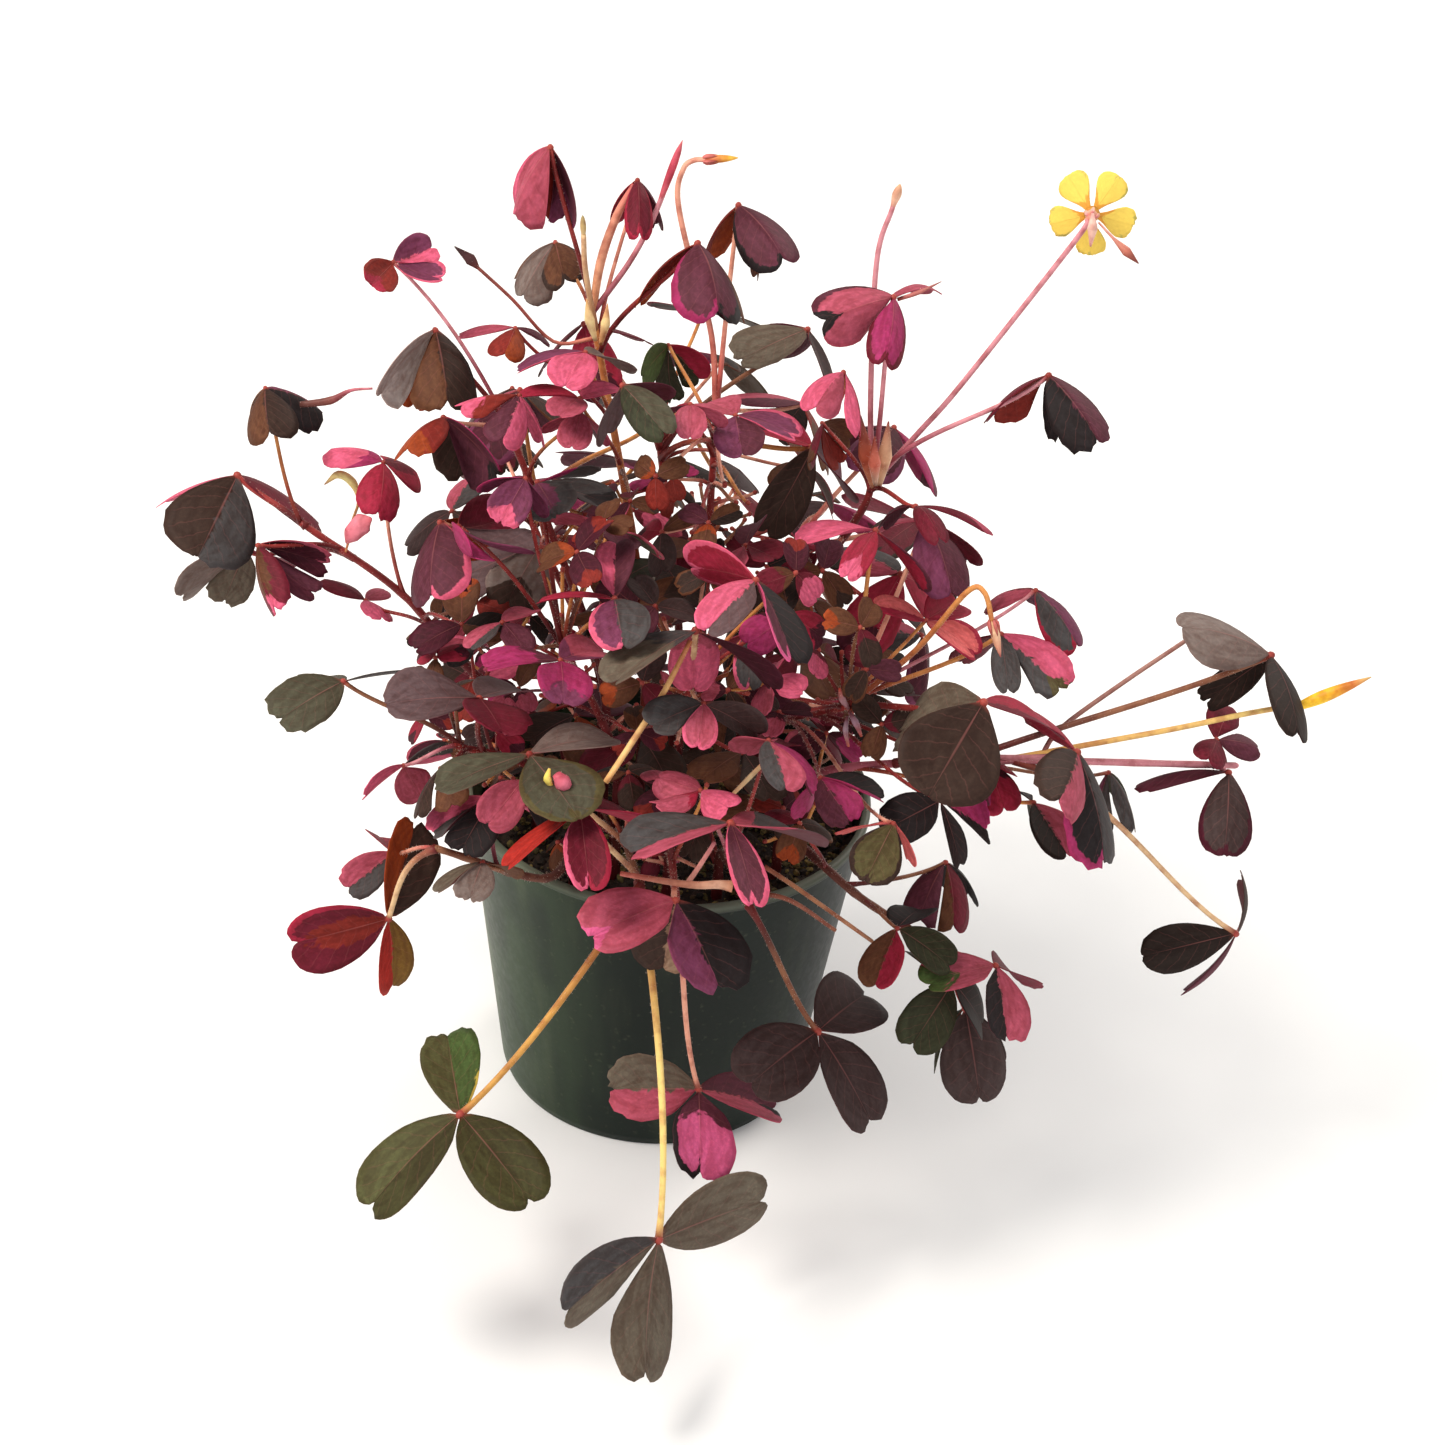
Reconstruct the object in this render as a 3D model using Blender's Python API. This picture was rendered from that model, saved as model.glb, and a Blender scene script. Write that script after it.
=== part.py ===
"""Potted plum crazy oxalis: a round nursery pot of soil with leafy stems and one open flower.

Metres, +Z up. The origin is the centre of the pot's flat base, and -Y faces the viewer.
Leaves that show in the photograph are placed by their pixels in it; the rest follow a seeded rule.
"""

import math
import random
from collections import namedtuple

import bpy
from mathutils import Matrix, Vector
from mathutils.bvhtree import BVHTree

MM = 0.001
GAP = 0.3 * MM

# Pot
POT_HEIGHT = 90 * MM
POT_RIM_RADIUS = 55 * MM
POT_BASE_RADIUS = 42 * MM
POT_WALL = 1.6 * MM
POT_FLOOR = 2.0 * MM
POT_FOOT_CHAMFER = 2.5 * MM
POT_LIP_HEIGHT = 8 * MM
POT_LIP_PROUD = 1.0 * MM
POT_SIDES = 32
DRAIN_HOLES = 6
DRAIN_RADIUS = 4 * MM
DRAIN_RING = 29 * MM
DRAIN_SIDES = 8

# Soil
SOIL_TOP = 80 * MM
SOIL_LUMP = 1.3 * MM
SOIL_RINGS = 4
SOIL_SIDES = 20
HOLE_DEPTH = 22 * MM
HOLE_CUT = 9 * MM
HOLE_SIDES = 5

# Stems: each leaves its hole upright, rises by a share of the way to its first point, then leans over
STEM_RADIUS = 1.3 * MM
STEM_TIP_RADIUS = 0.75 * MM
STEM_SIDES = 5
STEM_STEPS = 3
STEM_UPRIGHT = 3 * MM
STEM_RISE = 0.3
STEM_LEAN = 0.1

# Leaf stalks: how much each first follows its stem and rises, and how squarely it meets its leaf
STALK_RADIUS = 0.62 * MM
STALK_TIP_RADIUS = 0.5 * MM
STALK_SIDES = 3
STALK_STEPS = 3
STALK_PITCH = 1.7 * MM
STALK_FOLLOWS = 0.5
STALK_RISES = 0.25
STALK_SQUARE = 0.3
STALK_HANDLES = (0.36, 0.3)

# Blades: an outline is (along, aside) in parts of a leaflet's length, up to the notch at its tip
BLADE_THICKNESS = 0.7 * MM
BLADE_OUTLINE = ((0.31, 0.24), (0.67, 0.37), (0.98, 0.22))
SMALL_BLADE = 24 * MM
SMALL_OUTLINE = ((0.52, 0.32), (0.94, 0.27))
BLADE_NOTCH = 0.86
AXIL_REACH = 1.0 * MM
LEAFLET_GAP = 0.3 * MM
DROOP_SHOWS = 0.35
LEAF_FACES = (0, -0.4, 1)

# Room between what different stems carry, and what a leaf tries in turn to find it
CLEARANCE = 0.4 * MM
LOWEST_LEAF = 2.0 * MM
LEAF_SHIFTS = (0, -3, 3, -6, 6, -10, 10, -14, 14, -18, 18, -24, 24)
STALK_SHIFTS = (0, -4, 4, -8, 8, -12, 12)
STALK_BOWS = ((0, 0, 0), (0.5, 0, 0), (-0.5, 0, 0), (0, 0, 0.6), (0, 0, -0.5), (0, -0.6, 0))

# Buds: a profile of (along, radius) in parts of a bud's length
BUD_PROFILE = ((-0.1, 0.06), (0.25, 0.15), (0.65, 0.12), (0.9, 0.05))
BUD_SIDES = 5

# The photograph's camera: pixels of its 1445-pixel frame, and the pot's base as the camera sees it
PHOTO_MIDDLE = 722
PHOTO_FOCAL = 2950
CAMERA_PITCH = math.radians(33)
CAMERA_ROLL = math.radians(4.5)
BASE_IN_VIEW = (-20.4 * MM, -92.5 * MM, 841 * MM)

# A leaf: the pixel of its hub, how far that lies behind the pot's axis (mm), the pixels of its three
# leaflet tips, whether each leans near (n) or far (f), leaflet length (mm), fold along the midrib
# (degrees, negative for a roof), and where on its stem the stalk starts
Leaf = namedtuple("Leaf", "hub y tips lean size fold at", defaults=(1.0,))
# A stem: its place in the soil (mm), the pixel and depth (mm) of each point it passes, the last its tip
Stem = namedtuple("Stem", "root path colour")
# A stalk that ends in a bud: the pixel and depth of each point, where it starts, and the bud's size (mm)
BudStalk = namedtuple("BudStalk", "stem at path bud")

RED_BROWN = (0.30, 0.09, 0.07)
PLUM = (0.16, 0.06, 0.08)
ROSE = (0.50, 0.12, 0.18)
OLIVE = (0.16, 0.15, 0.07)

STEMS = {
    "summit_stem": Stem((-8, 8), ((592, 312, 15),), RED_BROWN),
    "upper_left_stem": Stem((-17, -5), ((505, 420, 2),), PLUM),
    "left_arm_stem": Stem((-28, 3), ((470, 670, -4), (400, 592, -4), (300, 522, -3)), PLUM),
    "left_low_stem": Stem((-34, -12), ((455, 745, -38),), ROSE),
    "left_front_stem": Stem((-22, -38), ((540, 878, -60), (436, 848, -68)), RED_BROWN),
    "front_left_stem": Stem((-12, -30), ((640, 885, -66),), OLIVE),
    "front_stem": Stem((2, -38), ((674, 884, -72),), ROSE),
    "front_right_stem": Stem((15, -34), ((748, 905, -66),), PLUM),
    "right_low_stem": Stem((30, -24), ((860, 897, -52), (944, 949, -56)), PLUM),
    "right_long_stem": Stem((37, -8), ((840, 768, -30), (1000, 760, -30), (1235, 765, -22)), PLUM),
    "right_crown_stem": Stem((25, 6), ((848, 705, -30),), ROSE),
    "upper_right_stem": Stem((17, 17), ((855, 520, 2), (872, 475, 2)), RED_BROWN),
    "centre_stem": Stem((2, -9), ((690, 680, -46),), ROSE),
    "centre_left_stem": Stem((-13, -17), ((560, 640, -34),), ROSE),
    "upper_middle_stem": Stem((6, 6), ((715, 425, 8),), RED_BROWN),
    "back_left_stem": Stem((-20, 26), ((530, 520, 46),), PLUM),
    "back_stem": Stem((0, 33), ((655, 410, 46),), RED_BROWN),
    "back_right_stem": Stem((23, 28), ((795, 540, 50),), PLUM),
}

LEAVES = {
    "summit_stem": (
        Leaf((550, 147), 18, ((510, 212), (538, 205), (562, 212)), "fff", 21, -50),
        Leaf((555, 242), 40, ((520, 298), (568, 290), (514, 262)), "fnf", 17, -30),
        Leaf((585, 352), -2, ((516, 372), (622, 364), (566, 394)), "nfn", 17, 15, 0.85),
        Leaf((579, 398), -10, ((517, 397), (621, 385), (560, 422)), "ffn", 14, 20, 0.8),
        Leaf((637, 180), 22, ((640, 243), (658, 216), (624, 208)), "nff", 17, -60),
        Leaf((697, 243), 12, ((719, 324), (744, 312), (634, 297)), "nff", 23, -45),
        Leaf((515, 328), 12, ((457, 334), (506, 361), (545, 336)), "fnf", 13, -40, 0.9),
    ),
    "upper_left_stem": (
        Leaf((393, 262), 8, ((374, 292), (431, 241), (444, 278)), "nff", 13, -30),
        Leaf((435, 330), 6, ((377, 398), (451, 412), (408, 404)), "nnf", 22, -40),
        Leaf((443, 417), -8, ((410, 457), (500, 477), (462, 472)), "nnf", 19, -40),
        Leaf((519, 395), -12, ((459, 409), (503, 447), (540, 440)), "nnf", 16, -35),
        Leaf((580, 412), -18, ((545, 430), (601, 441), (572, 452)), "ffn", 12, 10, 0.95),
        Leaf((440, 522), -26, ((434, 603), (462, 585), (480, 545)), "nff", 22, -30, 0.8),
    ),
    "left_arm_stem": (
        Leaf((265, 388), 6, ((276, 441), (321, 411), (246, 415)), "nff", 17, -50),
        Leaf((237, 475), -6, ((205, 562), (313, 520), (150, 498)), "nff", 27, -15),
        Leaf((245, 550), 26, ((178, 598), (216, 603), (290, 568)), "ffn", 19, 10, 0.9),
        Leaf((258, 545), -14, ((281, 613), (322, 562), (312, 594)), "nff", 20, -50, 0.95),
        Leaf((383, 462), -2, ((324, 447), (380, 519), (411, 467)), "fnf", 16, -30, 0.8),
        Leaf((365, 600), 12, ((321, 578), (387, 620), (382, 588)), "fnf", 12, -20, 0.7),
    ),
    "left_low_stem": (
        Leaf((403, 765), -42, ((366, 797), (451, 752), (418, 800)), "nff", 14, 15),
        Leaf((343, 681), -16, ((281, 722), (298, 675), (427, 670)), "nff", 21, 10),
        Leaf((479, 698), -48, ((387, 704), (510, 735), (520, 690)), "nnf", 24, 20, 0.9),
        Leaf((440, 768), -56, ((418, 817), (456, 806), (470, 768)), "nnf", 14, -20),
        Leaf((470, 640), -18, ((427, 642), (447, 665), (492, 655)), "fnf", 12, 20, 0.9),
    ),
    "left_front_stem": (
        Leaf((388, 918), -64, ((291, 942), (412, 821), (384, 996)), "nff", 26, 25),
        Leaf((392, 852), -50, ((345, 890), (372, 838), (402, 886)), "nff", 15, 20),
        Leaf((482, 862), -72, ((437, 892), (472, 899), (510, 880)), "nnf", 14, 15, 0.8),
        Leaf((492, 797), -58, ((431, 833), (462, 852), (524, 812)), "nnf", 18, 15, 0.9),
    ),
    "front_left_stem": (
        Leaf((460, 1114), -112, ((368, 1208), (538, 1194), (436, 1041)), "nnf", 32, 12),
        Leaf((658, 1239), -128, ((771, 1210), (565, 1298), (645, 1377)), "fnn", 34, 15),
        Leaf((579, 806), -88, ((592, 889), (507, 866), (649, 833)), "nnf", 24, 25),
        Leaf((529, 754), -78, ((440, 790), (582, 818), (613, 738)), "nnf", 24, 12, 0.8),
        Leaf((522, 780), -62, ((486, 826), (550, 822), (562, 776)), "nff", 15, 25, 0.8),
    ),
    "front_stem": (
        Leaf((675, 900), -90, ((588, 935), (721, 988), (660, 979)), "nnf", 26, 15),
        Leaf((698, 1089), -100, ((607, 1085), (700, 1173), (779, 1116)), "nnf", 24, 20),
    ),
    "front_right_stem": (
        Leaf((817, 1031), -80, ((744, 1080), (872, 1000), (872, 1126)), "nfn", 27, 12),
        Leaf((730, 823), -94, ((629, 852), (819, 847), (754, 903)), "nfn", 27, 20, 0.85),
        Leaf((700, 790), -80, ((653, 803), (730, 807), (655, 777)), "nnf", 13, 25, 0.7),
        Leaf((768, 740), -76, ((785, 791), (813, 795), (744, 755)), "nnf", 16, 20, 0.7),
    ),
    "right_low_stem": (
        Leaf((995, 965), -64, ((921, 983), (1003, 1038), (1028, 989)), "nnf", 21, 20),
        Leaf((952, 982), -70, ((908, 1048), (987, 1032), (925, 958)), "nff", 20, 10),
        Leaf((965, 1008), -56, ((982, 1109), (945, 1062), (992, 1050)), "fff", 27, -50),
        Leaf((897, 928), -58, ((952, 968), (872, 987), (925, 912)), "nnf", 17, 15, 0.75),
        Leaf((945, 862), -38, ((951, 930), (915, 920), (974, 900)), "nnf", 19, -40, 0.7),
    ),
    "right_long_stem": (
        Leaf((1270, 655), -14, ((1172, 627), (1284, 738), (1218, 702)), "nnf", 28, -25, 0.7),
        Leaf((1216, 739), -22, ((1233, 703), (1263, 748), (1200, 760)), "ffn", 13, -30),
        Leaf((1228, 772), -30, ((1216, 854), (1137, 785), (1242, 840)), "nff", 24, -35),
        Leaf((1235, 933), -34, ((1140, 956), (1255, 879), (1191, 999)), "nff", 25, -30, 0.8),
        Leaf((1076, 752), -40, ((1103, 868), (1044, 802), (1021, 702)), "nnf", 29, -25, 0.65),
        Leaf((1033, 802), -48, ((1065, 857), (1005, 788), (1042, 832)), "nff", 18, 20, 0.55),
        Leaf((1108, 772), -24, ((1134, 832), (1098, 838), (1130, 800)), "nff", 17, -45, 0.7),
    ),
    "right_crown_stem": (
        Leaf((875, 530), -22, ((797, 544), (925, 590), (842, 582)), "nfn", 21, 20),
        Leaf((925, 520), -12, ((868, 530), (950, 599), (975, 560)), "fnf", 22, -25),
        Leaf((925, 620), -34, ((977, 657), (871, 606), (963, 600)), "nnf", 16, 25),
        Leaf((1035, 590), -6, ((994, 598), (1079, 649), (1060, 606)), "fnf", 18, -35),
        Leaf((1000, 634), -14, ((1060, 692), (1002, 694), (964, 662)), "nnf", 22, 10),
        Leaf((983, 702), -60, ((923, 797), (904, 732), (1067, 733)), "nff", 29, 10),
        Leaf((940, 800), -64, ((984, 829), (958, 866), (883, 832)), "nnf", 18, 20, 0.9),
        Leaf((985, 763), -40, ((1003, 812), (970, 800), (1012, 768)), "nnf", 14, -20, 0.9),
        Leaf((893, 823), -76, ((862, 881), (841, 836), (912, 864)), "nff", 17, 10, 0.8),
        Leaf((820, 777), -62, ((850, 823), (884, 800), (806, 816)), "nnf", 15, 20, 0.8),
    ),
    "upper_right_stem": (
        Leaf((893, 297), 16, ((817, 327), (881, 371), (941, 279)), "nnf", 22, -45),
        Leaf((843, 372), 2, ((811, 416), (858, 439), (826, 404)), "nnf", 18, -40),
        Leaf((822, 423), -4, ((806, 467), (840, 463), (853, 436)), "nff", 13, -30, 0.9),
        Leaf((1048, 375), 0, ((995, 412), (1097, 447), (1066, 434)), "fnf", 22, -40),
        Leaf((915, 506), -10, ((995, 531), (935, 545), (884, 522)), "fnf", 21, -50, 0.9),
    ),
    "centre_stem": (
        Leaf((695, 630), -62, ((612, 686), (776, 689), (692, 692)), "nff", 27, 25),
        Leaf((755, 580), -58, ((685, 562), (704, 635), (792, 665)), "fnn", 24, 20),
        Leaf((703, 703), -80, ((649, 727), (697, 749), (761, 736)), "nnf", 17, 15),
        Leaf((747, 632), -48, ((749, 691), (778, 652), (721, 656)), "nff", 16, 15, 0.9),
        Leaf((768, 680), -44, ((804, 692), (762, 717), (779, 660)), "nnf", 11, 15, 0.9),
        Leaf((742, 752), -30, ((700, 780), (770, 800), (790, 742)), "nnf", 19, 10, 0.7),
    ),
    "centre_left_stem": (
        Leaf((525, 478), -24, ((500, 526), (480, 490), (532, 510)), "nff", 14, 20),
        Leaf((537, 482), -14, ((616, 508), (562, 522), (585, 470)), "nnf", 21, 15),
        Leaf((608, 530), -22, ((549, 521), (662, 560), (622, 552)), "fnn", 16, 20),
        Leaf((614, 598), -48, ((614, 536), (535, 600), (626, 652)), "ffn", 20, 20),
        Leaf((540, 545), -4, ((457, 578), (508, 609), (580, 570)), "nnf", 22, 5),
        Leaf((458, 526), -12, ((536, 554), (480, 562), (502, 512)), "nnf", 20, -45),
        Leaf((560, 660), -54, ((485, 668), (604, 650), (566, 706)), "nfn", 19, 20),
        Leaf((502, 622), -38, ((470, 650), (528, 653), (532, 608)), "nnf", 12, 15),
        Leaf((640, 735), -20, ((592, 772), (672, 790), (690, 722)), "nnf", 20, 10, 0.7),
        Leaf((575, 715), -14, ((530, 742), (590, 770), (622, 700)), "nnf", 20, 10, 0.6),
    ),
    "upper_middle_stem": (
        Leaf((738, 205), 28, ((706, 248), (785, 269), (758, 270)), "fnf", 22, -45),
        Leaf((735, 415), -16, ((798, 440), (742, 462), (704, 396)), "nnf", 17, 15),
        Leaf((668, 345), 24, ((641, 383), (701, 377), (672, 400)), "nff", 15, -10),
        Leaf((690, 404), -10, ((655, 424), (718, 424), (690, 443)), "ffn", 12, 30),
        Leaf((622, 385), -14, ((668, 441), (603, 430), (657, 392)), "nff", 20, -10),
        Leaf((745, 545), -24, ((776, 562), (732, 578), (758, 518)), "nnf", 13, 20, 0.75),
        Leaf((660, 560), 10, ((610, 590), (690, 610), (700, 540)), "nnf", 21, 10, 0.7),
        Leaf((800, 650), 10, ((760, 690), (830, 700), (845, 640)), "nnf", 20, 10, 0.5),
    ),
}

BUD_STALKS = (
    BudStalk(
        "upper_middle_stem", 1.0,
        ((711, 335, 14), (688, 252, 18), (677, 196, 20), (683, 168, 20), (693, 160, 20), (705, 159, 20)), 8,
    ),
    BudStalk("summit_stem", 1.0, ((630, 260, 18), (655, 212, 20), (676, 156, 22)), 5),
    BudStalk("summit_stem", 0.97, ((585, 270, 12), (583, 234, 12)), 5),
    BudStalk("upper_right_stem", 1.0, ((870, 400, 8), (876, 262, 18), (893, 204, 20)), 6),
    BudStalk(
        "right_crown_stem", 1.0, ((915, 650, -34), (966, 592, -36), (984, 592, -38), (992, 622, -40)), 9
    ),
    BudStalk(
        "right_long_stem", 0.75, ((1165, 730, -28), (1242, 714, -28), (1306, 702, -28), (1330, 693, -28)), 12
    ),
)

# The open flower, which faces away from the viewer
FLOWER_STEM = "upper_right_stem"
PEDICEL_AT = 0.9
PEDICEL_PATH = ((920, 430, 4), (960, 385, 6), (1067, 250, 8))
FLOWER_CENTRE = (1091, 215, 14)
FLOWER_FACING = (0.12, 0.95, -0.26)
CALYX_LENGTH = 5 * MM
CALYX_RADIUS = 1.5 * MM
CALYX_LIP = 1 * MM
COROLLA_TUBE = 1.6 * MM
COROLLA_RADII = (1.2 * MM, 2.0 * MM)
PETALS = 5
PETAL_LENGTH = 11 * MM
PETAL_OUTLINE = ((0.32, 0.12), (0.72, 0.37), (0.98, 0.22))
PETAL_NOTCH = 0.95
PETAL_RISE = math.radians(30)
PETAL_FOLD = math.radians(12)
PETAL_TURN = math.radians(-7)

# Leaves on the far side, which the photograph doesn't show, by a seeded rule
FILL_SEED = 31
FILL_COUNTS = {
    "back_left_stem": 8,
    "back_stem": 8,
    "back_right_stem": 8,
}
FILL_TRIES = 200
FILL_FROM = (0, 0, 30 * MM)
FILL_OUTWARD = 0.7
FILL_RISE = (-0.7, 0.8)
FILL_REACH = (30 * MM, 64 * MM)
FILL_SIZE = (17 * MM, 26 * MM)
FILL_TILT = 0.8
FILL_DROOP = 0.9
FILL_FOLD = (-35, 30)
FILL_ROOT = (0.85, 1.0)
FILL_MIDDLE = (670, 590)
FILL_WINDOW = (285, 300)

RIGHT = Vector((1, 0, 0))
RISING = Vector((0, math.sin(CAMERA_PITCH), math.cos(CAMERA_PITCH)))
VIEW = Vector((0, math.cos(CAMERA_PITCH), -math.sin(CAMERA_PITCH)))
CAMERA_X = RIGHT * math.cos(CAMERA_ROLL) + RISING * math.sin(CAMERA_ROLL)
CAMERA_Y = RISING * math.cos(CAMERA_ROLL) - RIGHT * math.sin(CAMERA_ROLL)
EYE = -(CAMERA_X * BASE_IN_VIEW[0] + CAMERA_Y * BASE_IN_VIEW[1] + VIEW * BASE_IN_VIEW[2])
UP = Vector((0, 0, 1))


def clear_scene():
    for thing in list(bpy.data.objects):
        bpy.data.objects.remove(thing)


def finish_material(name, colour, roughness, metallic=0.0):
    material = bpy.data.materials.new(name)
    material.use_nodes = True
    shader = material.node_tree.nodes["Principled BSDF"]
    shader.inputs["Base Color"].default_value = (*colour, 1)
    shader.inputs["Roughness"].default_value = roughness
    shader.inputs["Metallic"].default_value = metallic
    return material


def mesh_object(name, points, faces):
    mesh = bpy.data.meshes.new(name)
    mesh.from_pydata([tuple(point) for point in points], [], faces)
    mesh.validate()
    thing = bpy.data.objects.new(name, mesh)
    bpy.context.scene.collection.objects.link(thing)
    return thing


def sight(pixel):
    """The direction in which the camera sees a pixel, one unit deep."""
    across = (pixel[0] - PHOTO_MIDDLE) / PHOTO_FOCAL
    down = (pixel[1] - PHOTO_MIDDLE) / PHOTO_FOCAL
    return CAMERA_X * across - CAMERA_Y * down + VIEW


def spot(pixel, y_mm):
    """The point seen at a pixel, on the upright plane that lies y_mm behind the pot's axis."""
    ray = sight(pixel)
    return EYE + ray * ((y_mm * MM - EYE.y) / ray.y)


def behind_crown(point):
    """Whether the camera sees a point inside the oval of pixels that the leaves in front fill."""
    ray = point - EYE
    across = PHOTO_MIDDLE + PHOTO_FOCAL * ray.dot(CAMERA_X) / ray.dot(VIEW) - FILL_MIDDLE[0]
    down = PHOTO_MIDDLE - PHOTO_FOCAL * ray.dot(CAMERA_Y) / ray.dot(VIEW) - FILL_MIDDLE[1]
    return (across / FILL_WINDOW[0]) ** 2 + (down / FILL_WINDOW[1]) ** 2 < 1


def towards_tip(hub, pixel, lean, size):
    """The vector from a hub to a leaflet's tip that is seen at a pixel."""
    flat = EYE + sight(pixel) * (hub - EYE).dot(VIEW) - hub
    deep = math.sqrt(max(0.0, (size * MM) ** 2 - flat.length_squared))
    return flat + VIEW * (deep if lean == "f" else -deep)


def through(points, steps):
    """A smooth curve through the points, each stretch cut into steps."""
    ends = [points[0] * 2 - points[1], *points, points[-1] * 2 - points[-2]]
    curve = [points[0]]
    for a, b, c, d in zip(ends, ends[1:], ends[2:], ends[3:]):
        for k in range(1, steps + 1):
            t = k / steps
            bend = (a * 2 - b * 5 + c * 4 - d) * t * t + (b * 3 - a - c * 3 + d) * t**3
            curve.append(b + ((c - a) * t + bend) / 2)
    return curve


def arc(start, leaving, arriving, end, steps):
    """A cubic curve from start to end, with its two handles."""
    curve = []
    for k in range(steps + 1):
        t = k / steps
        s = 1 - t
        curve.append(start * s**3 + leaving * 3 * s * s * t + arriving * 3 * s * t * t + end * t**3)
    return curve


def tube(path, radii, sides, facing=None):
    """A closed tube along a path: its points and faces. Its last ring can be turned to face another way."""
    points = []
    side = (path[1] - path[0]).orthogonal().normalized()
    for k, centre in enumerate(path):
        along = (path[min(k + 1, len(path) - 1)] - path[max(k - 1, 0)]).normalized()
        side = (side - along * side.dot(along)).normalized()
        if facing and k == len(path) - 1:
            facing = facing if facing.dot(along) > 0 else -facing
            side = along.rotation_difference(facing) @ side
            along = facing
        across = along.cross(side)
        for i in range(sides):
            turn = 2 * math.pi * i / sides
            points.append(centre + (side * math.cos(turn) + across * math.sin(turn)) * radii[k])
    faces = [tuple(range(sides))[::-1]]
    for k in range(len(path) - 1):
        for i in range(sides):
            j = (i + 1) % sides
            faces.append((k * sides + i, k * sides + j, (k + 1) * sides + j, (k + 1) * sides + i))
    faces.append(tuple(range((len(path) - 1) * sides, len(path) * sides)))
    return points, faces


def tapered(first, last, count):
    return [first + (last - first) * k / (count - 1) for k in range(count)]


def rosette(hub, midribs, axis, fold, outline=BLADE_OUTLINE, notch=BLADE_NOTCH, grow=0.0):
    """Leaflets or petals as one thin plate: creased along each midrib and cut in to the hub between them.

    The rim runs round the plate from axil to axil, with each leaflet's outline and notch in between. A
    point that would cross into the next leaflet's share of the circle is moved back to the line between.
    """
    first = axis.orthogonal().normalized()
    second = axis.cross(first)
    bearing = {id(m): math.atan2(m.dot(second), m.dot(first)) for m in midribs}
    midribs = sorted(midribs, key=lambda m: bearing[id(m)])
    bearings = [bearing[id(m)] for m in midribs]
    number = len(midribs)
    half = BLADE_THICKNESS / 2 + grow
    faces_up = []
    for midrib in midribs:
        along = midrib.normalized()
        faces_up.append((axis - along * axis.dot(along)).normalized())
    tops, bottoms, middles = [], [], []
    for k in range(number):
        following = bearings[(k + 1) % number] + (2 * math.pi if k == number - 1 else 0)
        middle = (bearings[k] + following) / 2
        middles.append(first * math.cos(middle) + second * math.sin(middle))
    for k, midrib in enumerate(midribs):
        size = midrib.length
        along = midrib / size
        face = faces_up[k]
        side = face.cross(along)
        before, after = middles[k - 1], middles[k]
        lift = (face + faces_up[k - 1]).normalized() * half
        axil = hub + before * (AXIL_REACH + grow)
        tops.append(axil + lift)
        bottoms.append(axil - lift)
        rows = [(x * size + grow * x, -y * size - grow) for x, y in outline]
        rows.append((notch * size + grow, 0.0))
        rows += [(x * size + grow * x, y * size + grow) for x, y in reversed(outline)]
        for x, y in rows:
            place = hub + along * x + side * (y * math.cos(fold)) + face * abs(y) * math.sin(fold)
            for sign, rim in ((1, tops), (-1, bottoms)):
                point = place + face * sign * half / math.cos(fold)
                for wall, way in ((axis.cross(before), 1), (axis.cross(after), -1)):
                    short = LEAFLET_GAP - (point - hub).dot(wall) * way
                    if y and short > 0:
                        point = point + wall * way * short
                rim.append(point)
    count = len(tops)
    each = count // number
    fans = [(0, k * each, (k + 1) * each) for k in range(1, number - 1)]
    for start in range(0, count, each):
        tip = start + each // 2
        ring = [(start + k) % count for k in range(each + 1)]
        fans.append((start, tip, ring[-1]))
        fans += [(tip, a, b) for a, b in zip(ring, ring[1:]) if tip not in (a, b)]
    faces = []
    for a, b, c in fans:
        faces += [(a, b, c), (a + count, c + count, b + count)]
    for i in range(count):
        j = (i + 1) % count
        faces += [(i, i + count, j + count), (i, j + count, j)]
    return [*tops, *bottoms], faces


def rosette_axis(midribs):
    """The way a leaf's upper side faces, from the directions of its three midribs."""
    a, b, c = (midrib.normalized() for midrib in midribs)
    axis = (a.cross(b) + b.cross(c) + c.cross(a)).normalized()
    droop = -(a + b + c) / 3
    hint = droop if droop.length > DROOP_SHOWS else Vector(LEAF_FACES)
    if axis.dot(hint) < 0:
        axis = -axis
    return (axis + droop).normalized()


def stalk_path(start, growing, hub, axis, bow):
    """A leaf stalk's curve, from its stem to its leaf's hub."""
    span = (hub - start).length
    straight = (hub - start).normalized()
    first, last = STALK_HANDLES
    heading = (growing * STALK_FOLLOWS + straight + UP * STALK_RISES + bow).normalized()
    leaving = start + heading * span * first
    arriving = hub - (straight + axis * STALK_SQUARE).normalized() * span * last
    return arc(start, leaving, arriving, hub, STALK_STEPS)


def joined(shapes):
    """Several shapes' points and faces as one pair of lists."""
    points, faces = [], []
    for some, theirs in shapes:
        faces += [tuple(i + len(points) for i in face) for face in theirs]
        points += some
    return points, faces


def tree_of(shapes):
    return BVHTree.FromPolygons(*joined(shapes))


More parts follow.
